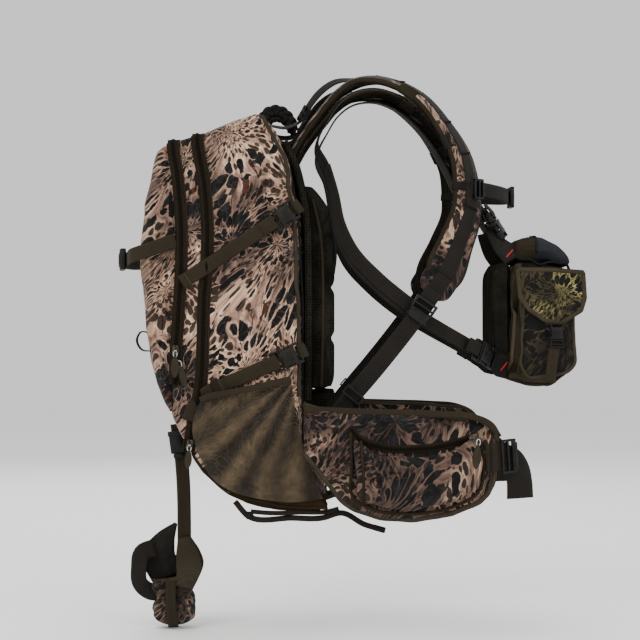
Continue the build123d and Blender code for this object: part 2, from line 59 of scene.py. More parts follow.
# ---------------------------------------------------------------- driving sizes, in millimetres
CLOTH_VOXEL = 6.0
PAD_VOXEL = 5.0
SIM_FRAMES = 18
SIDE = 155.0  # side panel of the bag
WEB_THICK = 1.8
LIGHT_WEB = 20.0
WEB = 25.0
BELT_WEB = 38.0
NARROW_WEB = 15.0
CORD_WEB = 8.0
ZIP_WIDE = 14.0
WELT_SHIFT = 8.0  # from a zip's middle to the welts beside it
BINDING = 3.2
STRAP_BINDING = 4.0
TACK_LONG = 3.2  # bar tacks, along the strap
WIDEST_BEVEL = 0.45  # a bevel's largest share of a block's thinnest side

# directions
NEAR = (0, -1, 0)
INWARD = (0, 1, 0)
BINDING_NORMAL = (0, -1, 0.02)


def srgb(r, g, b):
    """A colour, 0 to 255, as the linear colour that shaders take."""
    return tuple((c / 255) ** 2.2 for c in (r, g, b)) + (1.0,)


TAN = srgb(172, 139, 117)
CREAM = srgb(216, 187, 160)
ROSE = srgb(134, 104, 89)
MAUVE = srgb(76, 62, 56)
INK = srgb(8, 8, 9)
SLATE = srgb(30, 31, 32)
RUST = srgb(66, 38, 25)
OLIVE = srgb(36, 31, 23)
OLIVE_LIGHT = srgb(58, 51, 38)
BLACK = srgb(23, 21, 19)
BLACK_LIGHT = srgb(46, 42, 37)


# ---------------------------------------------------------------- camera and studio, in metres and watts
CAMERA_PLACE = (-0.022, -2.8, 0.1756)
LENS = 107.7
FLOOR_WIDE = 14
FLOOR_GAP = 0.004  # from the lowest point down to the floor
WORLD_LIGHT = 0.95
LAMP_COLOUR = (1.0, 0.985, 0.965)
LAMPS_AIM = (0, 0, 0.12)
LAMPS = {  # place, size and power
    "key": ((-1.3, -2.2, 2.3), 1.8, 62),
    "fill": ((1.9, -2.0, 1.2), 2.2, 34),
    "top": ((0.1, 0.4, 2.6), 2.0, 26),
    "rear": ((-0.6, 2.4, 1.6), 2.0, 26),
}


def studio():
    camera = bpy.data.objects.new("camera", bpy.data.cameras.new("camera"))
    camera.location = CAMERA_PLACE
    camera.rotation_euler = (math.pi / 2, 0, 0)
    camera.data.lens = LENS
    bpy.context.scene.collection.objects.link(camera)
    bpy.context.scene.camera = camera
    bpy.ops.mesh.primitive_plane_add(size=FLOOR_WIDE, location=(0, 0, CAD_BOUNDS[0][2] - FLOOR_GAP))
    floor = bpy.context.object
    floor.name = "floor"
    paint = Paint("floor_white")
    speckled = paint.patches(40, 2, (0.3, srgb(250, 250, 250)), (0.7, srgb(252, 252, 252)))
    floor.data.materials.append(paint.surface(Base_Color=speckled, Roughness=0.8))
    for name, settings in LAMPS.items():
        light(name, *settings)
    world = bpy.data.worlds.new("studio")
    world.use_nodes = True
    background = world.node_tree.nodes["Background"].inputs
    background["Color"].default_value = (1, 1, 1, 1)
    background["Strength"].default_value = WORLD_LIGHT
    bpy.context.scene.world = world


def light(name, place, size, power):
    lamp = bpy.data.lights.new(name, "AREA")
    lamp.size = size
    lamp.energy = power
    lamp.color = LAMP_COLOUR
    holder = bpy.data.objects.new(name, lamp)
    holder.location = place
    holder.rotation_euler = (Vector(LAMPS_AIM) - Vector(place)).to_track_quat("-Z", "Y").to_euler()
    bpy.context.scene.collection.objects.link(holder)


# ---------------------------------------------------------------- materials
STITCH_GAP = 0.35  # the share of a stitch's pitch that lies under the cloth
HEART = 0.012  # keeps a rosette's own centre from being endlessly fine
TWILL = 0.0031  # pitches of woven and knitted threads, in metres
RIB = 0.0023
NET = 0.0021
TOOTH = 0.0024
# the side pocket mesh's painted fold shading fans out from this corner too
GATHER = (-45.0, 112.0)  # the corner, x and z, that the side pocket's folds run to


class Paint:
    """A material built from procedural nodes."""

    def __init__(self, name):
        self.material = bpy.data.materials.new(name)
        self.material.use_nodes = True
        self.tree = self.material.node_tree
        self.coords = self.tree.nodes.new("ShaderNodeTexCoord")
        self.object = self.coords.outputs["Object"]
        self.uv = self.coords.outputs["UV"]

    def feed(self, socket, value):
        if isinstance(value, bpy.types.NodeSocket):
            self.tree.links.new(value, socket)
        else:
            socket.default_value = value

    def node(self, kind, inputs, **settings):
        made = self.tree.nodes.new(kind)
        for key, value in settings.items():
            setattr(made, key, value)
        for key, value in inputs.items():
            self.feed(made.inputs[key], value)
        return made

    def surface(self, **inputs):
        shader = self.tree.nodes["Principled BSDF"]
        for key, value in inputs.items():
            self.feed(shader.inputs[key.replace("_", " ")], value)
        return self.material

    def noise(self, scale, detail=3.0, rough=0.55, warp=0.0, vector=None):
        inputs = {"Vector": vector or self.object, "Scale": scale, "Detail": detail, "Roughness": rough,
                  "Distortion": warp}
        return self.node("ShaderNodeTexNoise", inputs).outputs[0]

    def cells(self, scale, vector=None, feature="F1", loose=1.0):
        inputs = {"Vector": vector or self.object, "Scale": scale, "Randomness": loose}
        return self.node("ShaderNodeTexVoronoi", inputs, feature=feature).outputs["Distance"]

    def ramp(self, fac, *stops):
        """Colours or greys read off between stops, each a place from 0 to 1 and what stands there."""
        made = self.node("ShaderNodeValToRGB", {"Fac": fac})
        elements = made.color_ramp.elements
        while len(elements) < len(stops):
            elements.new(0.5)
        for element, (at, colour) in zip(elements, stops, strict=True):
            element.position = at
            element.color = colour if hasattr(colour, "__len__") else (colour, colour, colour, 1)
        return made.outputs["Color"]

    def patches(self, scale, detail, low, high, rough=0.55):
        """Cloudy noise between two stops."""
        return self.ramp(self.noise(scale, detail, rough), low, high)

    def mix(self, fac, a, b, blend="MIX"):
        return self.node("ShaderNodeMix", {0: fac, 6: a, 7: b}, data_type="RGBA", blend_type=blend).outputs[2]

    def math(self, operation, a, b=0.0):
        return self.node("ShaderNodeMath", {0: a, 1: b}, operation=operation).outputs[0]

    def times(self, a, b):
        return self.math("MULTIPLY", a, b)

    def plus(self, a, b):
        return self.math("ADD", a, b)

    def minus(self, a, b):
        return self.math("SUBTRACT", a, b)

    def wave(self, value, pitch):
        """A sine wave that comes round once in each pitch."""
        return self.math("SINE", self.times(value, 2 * math.pi / pitch))

    def bump(self, height, distance, strength=1.0, under=None):
        inputs = {"Height": height, "Distance": distance, "Strength": strength}
        if under is not None:
            inputs["Normal"] = under
        return self.node("ShaderNodeBump", inputs).outputs["Normal"]

    def below(self, fac, edge, soft):
        """1 where fac is under edge, 0 above, with a soft step."""
        inputs = {"Value": fac, "From Min": edge - soft, "From Max": edge + soft, "To Min": 1, "To Max": 0}
        return self.node("ShaderNodeMapRange", inputs).outputs[0]

    def split(self, vector):
        return self.node("ShaderNodeSeparateXYZ", {"Vector": vector}).outputs

    def plane(self, across, up):
        return self.node("ShaderNodeCombineXYZ", {"X": across, "Y": up}).outputs[0]

    def vectors(self, operation, inputs):
        return self.node("ShaderNodeVectorMath", inputs, operation=operation).outputs

    def flat(self):
        """Object coordinates as two numbers that change over every face: along, and up."""
        x, y, z = self.split(self.object)
        raised = self.plus(z, self.times(y, 0.31))
        return self.plane(self.plus(x, self.times(y, 0.83)), self.plus(raised, self.times(x, -0.5)))

    def pushed(self, vector, amount, scale):
        """A vector moved about by soft noise."""
        push = self.node("ShaderNodeTexNoise", {"Vector": vector, "Scale": scale, "Detail": 2.0})
        centred = self.vectors("SUBTRACT", {0: push.outputs["Color"], 1: (0.5, 0.5, 0.5)})[0]
        scaled = self.vectors("SCALE", {0: centred, "Scale": amount})[0]
        return self.vectors("ADD", {0: vector, 1: scaled})[0]

    def rosettes(self, vector, scale):
        """The angle round the nearest of many scattered centres, and the logarithm of the distance to it."""
        inputs = {"Vector": vector, "Scale": scale}
        centre = self.node("ShaderNodeTexVoronoi", inputs, voronoi_dimensions="2D")
        away = self.vectors("SUBTRACT", {0: vector, 1: centre.outputs["Position"]})[0]
        x, y, _ = self.split(away)
        length = self.vectors("LENGTH", {0: away})["Value"]
        return self.math("ARCTAN2", y, x), self.math("LOGARITHM", self.plus(length, HEART), math.e)

    def polar(self, rosette, around, outward):
        """A plane whose axes run round a rosette and out from its centre."""
        angle, reach = rosette
        return self.plane(self.times(angle, around), self.times(reach, outward))

    def petals(self, vector, small, spread, cluster):
        """Rounded blots of many sizes, one to a cell: distance minus size, and the cell's own grey."""
        inputs = {"Vector": vector, "Scale": 1.0, "Randomness": 0.85}
        cell = self.node("ShaderNodeTexVoronoi", inputs, voronoi_dimensions="2D")
        own = self.node("ShaderNodeSeparateColor", {"Color": cell.outputs["Color"]}).outputs
        size = self.plus(self.times(own[0], spread), small)
        ragged = self.times(self.minus(self.noise(150, 3), 0.5), 0.16)
        edge = self.plus(self.minus(cell.outputs["Distance"], size), self.plus(ragged, cluster))
        return edge, own[1]

    def stitches(self, along, across, line, pitch, half):
        """A dashed line of thread, half its width, at the distance line from the middle."""
        offset = self.math("ABSOLUTE", self.minus(across, line))
        dash = self.math("GREATER_THAN", self.math("FRACT", self.times(along, 1 / pitch)), STITCH_GAP)
        return self.times(self.below(offset, half, half / 2), dash)


def camo_cloth(name, ground, blot, deep, shift, dusk_share=0.46, strength=1.0, grain=1.0):
    """Brushed printed cloth: rosettes of dark petals with pale rims on streaked fur-like ground."""
    cream, tan, rose, mauve, rust = ground
    paint = Paint(name)
    placed = {"Vector": paint.flat(), "Location": (shift, shift * 0.7, 0), "Scale": (grain, grain, grain)}
    plane = paint.node("ShaderNodeMapping", placed).outputs[0]
    plane = paint.pushed(paint.pushed(plane, 0.09, 6), 0.012, 32)
    rosette = paint.rosettes(plane, 10.0)

    # the ground: fur-like streaks, duskier in large soft areas
    streaks = paint.noise(1.0, 5, 0.62, 0.4, paint.polar(rosette, 10.5, 2.1))
    cloud = paint.noise(15, 4, 0.6, 0.5, plane)
    tone = paint.plus(paint.times(streaks, 0.62), paint.times(cloud, 0.38))
    base = paint.ramp(tone, (0.36, mauve), (0.45, rose), (0.53, tan), (0.62, cream), (0.70, tan))
    dusk = paint.below(paint.noise(7.5, 3, 0.55, 0.4, plane), dusk_share, 0.05)
    shade = paint.ramp(tone, (0.38, blot), (0.48, mauve), (0.62, rose), (0.72, tan))
    base = paint.mix(paint.times(dusk, 0.95), base, shade)

    # large petals with pale rims, a few of them rust
    zone = paint.times(paint.minus(paint.noise(7.0, 3, 0.5, 0.0, plane), 0.50), 1.9)
    edge, own = paint.petals(paint.polar(rosette, 3.1, 2.0), 0.07, 0.40, zone)
    base = paint.mix(paint.times(paint.below(edge, 0.10, 0.04), 0.5), base, paint.mix(dusk, cream, rose))
    fill = paint.ramp(paint.noise(60, 3, 0.6, 0.6, plane), (0.42, blot), (0.66, deep))
    fill = paint.mix(paint.math("GREATER_THAN", own, 0.93), fill, rust)
    base = paint.mix(paint.below(edge, 0.0, 0.02), base, fill)

    # small petals where the large ones are few, then brush strokes and fine cracks
    speck, _ = paint.petals(paint.polar(rosette, 6.8, 4.6), 0.08, 0.36, paint.times(zone, -0.6))
    base = paint.mix(paint.times(paint.below(speck, 0.0, 0.03), 0.92), base, blot)
    strokes = paint.below(paint.noise(1.0, 3, 0.6, 0.3, paint.polar(rosette, 13, 2.2)), 0.385, 0.02)
    base = paint.mix(paint.times(strokes, 0.85), base, blot)
    cracks = paint.cells(75, paint.pushed(paint.object, 0.05, 22), "DISTANCE_TO_EDGE")
    cracks = paint.times(paint.below(cracks, 0.016, 0.014), paint.below(cloud, 0.52, 0.04))
    base = paint.mix(paint.times(cracks, 0.75), base, mauve)

    base = paint.mix(0.14, base, paint.patches(900, 2, (0.3, 0.25), (0.7, 1.0), 0.7), "MULTIPLY")
    weave = paint.bump(paint.noise(1300, 2, 0.7), 0.0004, 0.5)
    crumple = paint.bump(paint.noise(34, 4, 0.55, 0.8), 0.006, 0.35 * strength, weave)
    rough = paint.patches(30, 3, (0.3, 0.78), (0.7, 0.93))
    return paint.surface(Base_Color=base, Roughness=rough, Normal=crumple, Sheen_Weight=0.04,
                         Sheen_Roughness=0.5, Specular_IOR_Level=0.18)


def webbing(name, colour, light_colour, width):
    """Woven strap: u runs along it and v across, in metres. Ribs, a stitched line near each edge."""
    paint = Paint(name)
    along, across, _ = paint.split(paint.uv)
    across = paint.math("ABSOLUTE", across)
    ribs = paint.wave(along, RIB)
    woven = paint.plus(paint.times(ribs, 0.5), paint.wave(paint.plus(along, across), TWILL))
    tone = paint.ramp(paint.plus(paint.times(woven, 0.3), 0.5), (0.0, 0.0), (1.0, 1.0))
    base = paint.mix(paint.times(tone, 0.35), colour, light_colour)
    worn = paint.noise(28, 4, 0.6)
    base = paint.mix(paint.times(paint.ramp(worn, (0.4, 0.0), (0.75, 1.0)), 0.35), base, light_colour)
    stitch = paint.stitches(along, across, width / 2 - 0.0026, 0.0042, 0.0005)
    base = paint.mix(paint.times(stitch, 0.5), base, light_colour)
    height = paint.bump(stitch, 0.0006, 0.7, paint.bump(woven, 0.00035, 0.8))
    height = paint.bump(paint.noise(500, 2), 0.0003, 0.4, height)
    return paint.surface(Base_Color=base, Roughness=paint.ramp(worn, (0.3, 0.62), (0.7, 0.82)), Normal=height,
                         Sheen_Weight=0.02, Specular_IOR_Level=0.12)


def spacer_mesh(name, colour, light_colour, scale, deep=1.0):
    """Knitted spacer mesh: rows of small dark holes over a soft pad."""
    paint = Paint(name)
    holes = paint.cells(scale, loose=0.25)
    tone = paint.ramp(holes, (0.18, 0.0), (0.42, 1.0))
    mottled = paint.mix(paint.patches(22, 3, (0.35, 0.5), (0.7, 1.0)), colour, light_colour)
    base = paint.mix(paint.times(tone, 0.7), colour, mottled)
    height = paint.bump(paint.noise(26, 3), 0.004, 0.3, paint.bump(holes, 0.0012 * deep, 0.8))
    return paint.surface(Base_Color=base, Roughness=paint.ramp(holes, (0.1, 0.95), (0.5, 0.7)), Normal=height,
                         Specular_IOR_Level=0.0)


def sheer_mesh(name):
    """Thin stretch mesh that lets what is behind it show: fine threads with holes between them. Its colour
    holds painted shade in the fold hollows and painted light on the fold ridges.
    """
    paint = Paint(name)
    u, v, _ = paint.split(paint.uv)
    net = paint.times(paint.wave(u, NET), paint.wave(v, NET))
    x, _, z = paint.split(paint.object)
    angle = paint.math("ARCTAN2", paint.minus(z, GATHER[1] * MM), paint.minus(x, GATHER[0] * MM))
    wander = paint.times(paint.noise(7, 2), 6.0)
    wide = paint.math("SINE", paint.times(angle, 17.0))
    fine = paint.math("SINE", paint.plus(paint.times(angle, 24.0), wander))
    folds = paint.times(paint.plus(paint.times(fine, 0.7), paint.times(wide, 0.4)), 0.6)
    folds = paint.plus(folds, paint.noise(11, 3))
    # painted shading of the folds: the mesh runs from a dark colour in the fold hollows to a pale one on the
    # fold ridges, in place of how light falls on them
    fold_shade = paint.patches(70, 4, (0.32, srgb(14, 11, 7)), (0.68, srgb(36, 29, 21)), 0.7)
    fold_light = paint.patches(70, 4, (0.32, srgb(62, 52, 38)), (0.68, srgb(94, 80, 60)), 0.7)
    base = paint.mix(paint.ramp(folds, (0.05, 0.0), (0.95, 1.0)), fold_shade, fold_light)
    base = paint.mix(paint.times(paint.ramp(net, (0.2, 0.0), (0.8, 1.0)), 0.3), base, srgb(92, 79, 58))
    alpha = paint.minus(1.0, paint.times(paint.below(net, -0.30, 0.12), 0.45))
    height = paint.bump(folds, 0.007, 0.9, paint.bump(net, 0.0005, 0.8))
    return paint.surface(Base_Color=base, Alpha=alpha, Roughness=paint.patches(50, 3, (0.3, 0.6), (0.7, 0.8)),
                         Normal=height, Sheen_Weight=0.05, Specular_IOR_Level=0.2)


def moulded(name, colour, light_colour, gloss=0.42):
    """Moulded buckle plastic with fine grain and paler rubbed places."""
    paint = Paint(name)
    rubbed = paint.patches(75, 4, (0.42, 0.0), (0.75, 1.0), 0.65)
    base = paint.mix(paint.times(rubbed, 0.5), colour, light_colour)
    rough = paint.patches(160, 3, (0.3, gloss), (0.7, gloss + 0.18))
    grain = paint.bump(paint.noise(2200, 2), 0.0001, 0.5)
    return paint.surface(Base_Color=base, Roughness=rough, Normal=grain, Specular_IOR_Level=0.22)


def metal(name, colour, light_colour, rough_low):
    paint = Paint(name)
    scuffs = paint.patches(420, 4, (0.45, 0.0), (0.7, 1.0), 0.7)
    rough = paint.patches(300, 3, (0.3, rough_low), (0.7, rough_low + 0.2))
    return paint.surface(Base_Color=paint.mix(scuffs, colour, light_colour), Metallic=1.0, Roughness=rough,
                         Normal=paint.bump(scuffs, 0.0001, 0.4))


def zip_cloth(name):
    """Zip tape with a coil of small teeth down its middle: u along, v across, in metres."""
    paint = Paint(name)
    along, across, _ = paint.split(paint.uv)
    across = paint.math("ABSOLUTE", across)
    teeth = paint.wave(along, TOOTH)
    coil = paint.below(across, 0.0024, 0.0003)
    base = paint.patches(700, 2, (0.3, srgb(24, 20, 15)), (0.7, srgb(40, 34, 26)))
    toothed = paint.ramp(teeth, (0.2, srgb(12, 10, 8)), (0.8, srgb(32, 27, 20)))
    base = paint.mix(paint.times(coil, 0.8), base, toothed)
    stitch = paint.stitches(along, across, 0.0056, 0.0040, 0.0004)
    base = paint.mix(paint.times(stitch, 0.5), base, srgb(52, 45, 34))
    height = paint.bump(stitch, 0.0005, 0.7, paint.bump(paint.times(coil, teeth), 0.0008, 1.0))
    height = paint.bump(paint.noise(900, 2), 0.0003, 0.5, height)
    rough = paint.patches(90, 2, (0.3, 0.75), (0.7, 0.9))
    return paint.surface(Base_Color=base, Roughness=rough, Normal=height, Specular_IOR_Level=0.08)


# each camouflage's cream, tan, rose, mauve and rust
GROUND = (CREAM, TAN, ROSE, MAUVE, RUST)
GREEN_GROUND = (srgb(160, 152, 100), srgb(104, 96, 58), srgb(66, 60, 38), srgb(42, 37, 26), srgb(64, 78, 34))
# the belt's ground is darker than the bag's: partly the cloth's darker print there, partly painted shade,
# since the belt pocket lies in shade under the bag; the shoulder pads wear this cloth too
SHADED_BELT_GROUND = (srgb(172, 146, 125), srgb(124, 99, 84), srgb(92, 72, 62), srgb(53, 43, 39), srgb(66, 40, 26))
DARK_GROUND = (srgb(62, 54, 38), srgb(42, 37, 28), srgb(34, 30, 23), srgb(24, 21, 17), srgb(46, 36, 26))
BOOT_GROUND = (srgb(160, 132, 112), srgb(112, 90, 76), srgb(70, 58, 50), srgb(44, 38, 33), srgb(70, 44, 30))
PITCH = srgb(11, 11, 12)

# ground, blot, deep, shift, then the share of dusk, strength of the crumple and grain
CAMO = {
    "camo": (GROUND, INK, SLATE, 0.0, 0.49),
    # the belt's cloth: a darker ground and more dusk, part print and part painted shade
    "camo_belt": (SHADED_BELT_GROUND, INK, SLATE, 0.43, 0.54, 1.0, 0.8),
    "camo_green": (GREEN_GROUND, PITCH, srgb(28, 26, 20), 0.36, 0.5, 0.5, 1.3),
    "camo_dark": (DARK_GROUND, PITCH, srgb(22, 21, 19), 0.6, 0.5, 0.6, 1.1),
    "camo_boot": (BOOT_GROUND, PITCH, SLATE, 0.8),
}
# colour, lighter colour, holes to a metre and how deep they look
KNITTED = {
    "slate_cloth": (srgb(24, 25, 29), srgb(60, 62, 66), 1100, 0.4),
    "brown_binding": (srgb(44, 40, 33), srgb(72, 66, 55), 800, 0.4),
    "dark_olive_cloth": (srgb(34, 31, 26), srgb(54, 49, 41), 800, 0.4),
    "black_mesh": (srgb(9, 9, 8), srgb(50, 48, 43), 270),
    "brown_base": (srgb(34, 28, 21), srgb(54, 45, 35), 700, 0.4),
    "black_cloth": (srgb(25, 25, 25), srgb(50, 48, 45), 900, 0.4),
    "olive_cloth": (srgb(42, 39, 33), srgb(66, 61, 52), 800, 0.4),
}
# colour, lighter colour and roughness
MOULDED = {
    "olive_plastic": (srgb(18, 15, 11), srgb(42, 37, 28)),
    "black_plastic": (srgb(12, 12, 12), srgb(34, 34, 34)),
    "red_thread": (srgb(150, 30, 26), srgb(180, 60, 50), 0.7),
}
METALS = {
    "dark_metal": (srgb(46, 42, 36), srgb(120, 112, 98), 0.35),
    "bright_metal": (srgb(176, 176, 174), srgb(214, 214, 212), 0.25),
    "alloy": (srgb(160, 160, 160), srgb(190, 190, 190), 0.35),
}
WEBBING = {"olive": (OLIVE, OLIVE_LIGHT), "black": (BLACK, BLACK_LIGHT)}


def make_materials():
    made = {"olive_mesh": sheer_mesh("olive_mesh"), "zip": zip_cloth("zip")}
    for make, looks in ((camo_cloth, CAMO), (spacer_mesh, KNITTED), (moulded, MOULDED), (metal, METALS)):
        for name, settings in looks.items():
            made[name] = make(name, *settings)
    for width in (CORD_WEB, NARROW_WEB, LIGHT_WEB, WEB, BELT_WEB):
        for colour, shades in WEBBING.items():
            made[f"{colour}_{width:g}"] = webbing(f"{colour}_webbing_{width:g}", *shades, width * MM)
    return made


# ---------------------------------------------------------------- mesh helpers
def add_object(name, mesh, material):
    made = bpy.data.objects.new(name, mesh)
    bpy.context.scene.collection.objects.link(made)
    mesh.materials.clear()
    mesh.materials.append(PAINTS[material])
    for polygon in mesh.polygons:
        polygon.use_smooth = True
    return made


def mesh_from(name, shape):
    """The mesh of a finished shape, which is used up."""
    mesh = bpy.data.meshes.new(name)
    shape.to_mesh(mesh)
    shape.free()
    return mesh


def closed_mesh(name, shape):
    bmesh.ops.recalc_face_normals(shape, faces=shape.faces)
    return mesh_from(name, shape)


def skin_rings(shape, rings):
    """Faces between each closed ring of vertices and the next."""
    for ring, after in zip(rings[:-1], rings[1:], strict=True):
        for k in range(len(ring)):
            n = (k + 1) % len(ring)
            shape.faces.new([ring[k], ring[n], after[n], after[k]])


def unit(rows):
    """Each row of an array brought to length one."""
    return rows / np.linalg.norm(rows, axis=1)[:, None]


def smooth_run(points, step):
    """A smooth curve through given points: its samples, and where each lies from 0 to 1."""
    p = np.array(points, float)
    if len(p) == 2:
        count = max(2, int(np.linalg.norm(p[1] - p[0]) / step) + 1)
        t = np.linspace(0, 1, count)
        return p[0] + (p[1] - p[0]) * t[:, None], t
    gaps = np.linalg.norm(np.diff(p, axis=0), axis=1)
    at = np.concatenate([[0], np.cumsum(gaps)])
    slopes = np.gradient(p, at, axis=0)
    total = max(2, int(at[-1] / step) + 1)
    s = np.linspace(0, at[-1], total)
    i = np.clip(np.searchsorted(at, s, side="right") - 1, 0, len(p) - 2)
    h = gaps[i]
    u = ((s - at[i]) / h)[:, None]
    h = h[:, None]
    curve = (2 * u**3 - 3 * u**2 + 1) * p[i] + (u**3 - 2 * u**2 + u) * h * slopes[i]
    curve += (3 * u**2 - 2 * u**3) * p[i + 1] + (u**3 - u**2) * h * slopes[i + 1]
    return curve, s / at[-1]


def along_run(values, points, t):
    """Values given at the points, read smoothly at the samples t."""
    gaps = np.linalg.norm(np.diff(np.array(points, float), axis=0), axis=1)
    at = np.concatenate([[0], np.cumsum(gaps)]) / gaps.sum()
    values = np.array(values, float)
    if values.ndim == 1:
        return np.interp(t, at, values)
    return np.stack([np.interp(t, at, values[:, k]) for k in range(values.shape[1])], axis=1)


def sweep(name, points, normals, widths, profile, material, step=4.0, drop=None):
    """A strap or pad: a closed profile carried along a smooth run, in millimetres.

    A single normal or width stands for the whole run. drop lays the run on a surface.
    """
    if not hasattr(normals[0], "__len__"):
        normals = [normals] * len(points)
    if not hasattr(widths, "__len__"):
        widths = [widths] * len(points)
    curve, t = smooth_run(points, step)
    normal = along_run(normals, points, t)
    if drop is not None:
        curve = drop(curve, normal)
    width = along_run(widths, points, t)
    tangent = unit(np.gradient(curve, axis=0))
    across = unit(np.cross(tangent, normal))
    normal = np.cross(across, tangent)
    length = np.concatenate([[0], np.cumsum(np.linalg.norm(np.diff(curve, axis=0), axis=1))])
    shape = bmesh.new()
    uv = shape.loops.layers.uv.new("UVMap")
    rings, offsets = [], []
    for i, centre in enumerate(curve):
        ring = profile(width[i], t[i])
        rings.append([shape.verts.new((centre + across[i] * a + normal[i] * o) * MM) for a, o in ring])
        offsets.append([a for a, _ in ring])
    count = len(rings[0])
    for i in range(len(rings) - 1):
        for j in range(count):
            k = (j + 1) % count
            places = [(i, j), (i, k), (i + 1, k), (i + 1, j)]
            face = shape.faces.new([rings[row][column] for row, column in places])
            for loop, (row, column) in zip(face.loops, places, strict=True):
                loop[uv].uv = (length[row] * MM, offsets[row][column] * MM)
    for ring, row in ((rings[0][::-1], 0), (rings[-1], len(rings) - 1)):
        for loop in shape.faces.new(ring).loops:
            loop[uv].uv = (length[row] * MM, 0)
    return add_object(name, closed_mesh(name, shape), material)


FLAT_COLUMNS = 6
PAD_COLUMNS = 14
TUBE_SIDES = 10


def flat_profile(thick=WEB_THICK):
    """Webbing's section: flat faces and rounded selvedges."""

    def section(width, _):
        half = width / 2
        spread = [half * (2 * k / FLAT_COLUMNS - 1) for k in range(FLAT_COLUMNS + 1)]
        top = [(a, thick / 2 if abs(a) < half - 0.1 else thick * 0.22) for a in spread]
        return top + [(a, -o) for a, o in reversed(top)]

    return section


def pad_profile(thick, flat=0.32, ripple=0.0, tip=0.0):
    """A foam pad's section: crowned faces that pinch to bound edges.

    flat is the edge's share of the thickness, and the last share tip of the run is rounded off.
    """

    def section(width, t):
        into_tip = max(0.0, (t - 1 + tip) / tip) if tip else 0.0
        half = width / 2 * math.sqrt(1 - 0.8 * into_tip**2)
        top = []
        for k in range(PAD_COLUMNS + 1):
            a = 2 * k / PAD_COLUMNS - 1
            crown = flat + (1 - flat) * (1 - abs(a) ** 3.2)
            wave = 1 + ripple * math.sin(46 * t + 5 * a) * (1 - abs(a))
            top.append((a * half, thick / 2 * crown * wave))
        return top + [(a, -o * 0.8) for a, o in reversed(top)]

    return section


def tube_profile(radius, flatten=1.0):
    turn = [2 * math.pi * k / TUBE_SIDES for k in range(TUBE_SIDES)]
    return lambda width, t: [(radius * math.cos(a), radius * flatten * math.sin(a)) for a in turn]


def web(name, points, normals, width, colour, drop=None, thick=WEB_THICK):
    return sweep(name, points, normals, width, flat_profile(thick), f"{colour}_{width:g}", drop=drop)


def tube(name, points, radius, material, flatten=1.0, step=4.0, normals=BINDING_NORMAL, drop=None):
    return sweep(name, points, normals, 1.0, tube_profile(radius, flatten), material, step, drop)


def mirrored(source, name):
    """The wearer's left copy of a right-hand piece."""
    mesh = source.data.copy()
    mesh.transform(Matrix.Diagonal((1, -1, 1, 1)))
    mesh.flip_normals()
    made = bpy.data.objects.new(name, mesh)
    bpy.context.scene.collection.objects.link(made)
    for modifier in source.modifiers:
        copy = made.modifiers.new(modifier.name, modifier.type)
        for key in ("levels", "render_levels"):
            if hasattr(modifier, key):
                setattr(copy, key, getattr(modifier, key))
    return made


def over_the_middle(run):
    """A right-hand run of places or directions, carried on to the wearer's left."""
    return run + [(x, -y, z) for x, y, z in reversed(run)]


def rounded_boxes(name, boxes, material, bevel=0.8, segments=2):
    """Moulded part: overlapping blocks (low corner, high corner) with rounded edges, in its own frame."""
    shape = bmesh.new()
    for low, high in boxes:
        part = bmesh.ops.create_cube(shape, size=1.0)["verts"]
        size = [h - l for l, h in zip(low, high, strict=True)]
        middle = [(h + l) / 2 for l, h in zip(low, high, strict=True)]
        bmesh.ops.scale(shape, vec=size, verts=part)
        bmesh.ops.translate(shape, vec=middle, verts=part)
        edges = list({e for v in part for e in v.link_edges})
        reach = min(bevel, WIDEST_BEVEL * min(size))
        bmesh.ops.bevel(shape, geom=edges, offset=reach, segments=segments, affect="EDGES", profile=0.5)
    mesh = mesh_from(name, shape)
    mesh.transform(Matrix.Scale(MM, 4))
    return add_object(name, mesh, material)


def bar(start, end, half, low, high):
    """A block across a part: from start to end along it, and half to each side."""
    return (start, -half, low), (end, half, high)


def rails(start, end, middle, half, low, high):
    """A part's two side rails, each middle away from its centre line and half to each side of that."""
    return [((start, side * middle - half, low), (end, side * middle + half, high)) for side in (-1, 1)]


def bartack(name, long, wide, low, high, material, bevel=0.6):
    """A dense bar of stitches or a folded loop across a strap: long lies along the strap."""
    return rounded_boxes(name, [bar(-long / 2, long / 2, wide / 2, low, high)], material, bevel)


def square_to(direction, axis):
    """The unit direction that is nearest to a direction and square to a unit axis."""
    return (direction - axis * direction.dot(axis)).normalized()


def seat(piece, origin, x_dir, z_dir=NEAR):
    """Moves a part's mesh from its own frame to its place: x_dir is its x and z_dir faces outward."""
    x = Vector(x_dir).normalized()
    z = square_to(Vector(z_dir), x)
    turn = Matrix((x, z.cross(x), z)).transposed().to_4x4()
    piece.data.transform(Matrix.Translation(Vector(origin) * MM) @ turn)
    return piece


def join(name, pieces):
    """One object from several, keeping each one's materials."""
    bpy.ops.object.select_all(action="DESELECT")
    for piece in pieces:
        piece.select_set(True)
    bpy.context.view_layer.objects.active = pieces[0]
    bpy.ops.object.join()
    pieces[0].name = name
    return pieces[0]


def put(piece, body, *replaced):
    """Rides a piece on its body and hides the CAD nodes it stands for."""
    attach(piece, body)
    if replaced:
        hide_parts(*replaced)
    return piece


def put_both(piece, body="pack"):
    """Rides a right-hand piece and its left copy, named after it, on one body."""
    put(piece, body)
    put(mirrored(piece, f"{piece.name}_left"), body)


def sides(right, name, body, *replaced, slot=None):
    """Puts a right-hand piece and its left copy on their bodies. {} in a name stands for the side."""
    left = mirrored(right, name.format("left"))
    right.name = name.format("right")
    for piece, side in ((right, "right"), (left, "left")):
        put(piece, body.format(side), *[node.format(side) for node in replaced])
    return right, left


# ---------------------------------------------------------------- stuffed cloth
STUFFED = []  # every stuffed piece, its points at rest and how far they may move
HOLLOW = ("main_bag", "middle_bag", "outer_pocket", "chest_pouch")
CLOTH = {
    "quality": 4,
    "mass": 0.25,
    "tension_stiffness": 12,
    "compression_stiffness": 12,
    "shear_stiffness": 4,
    "bending_stiffness": 0.4,
    "use_pressure": True,
}


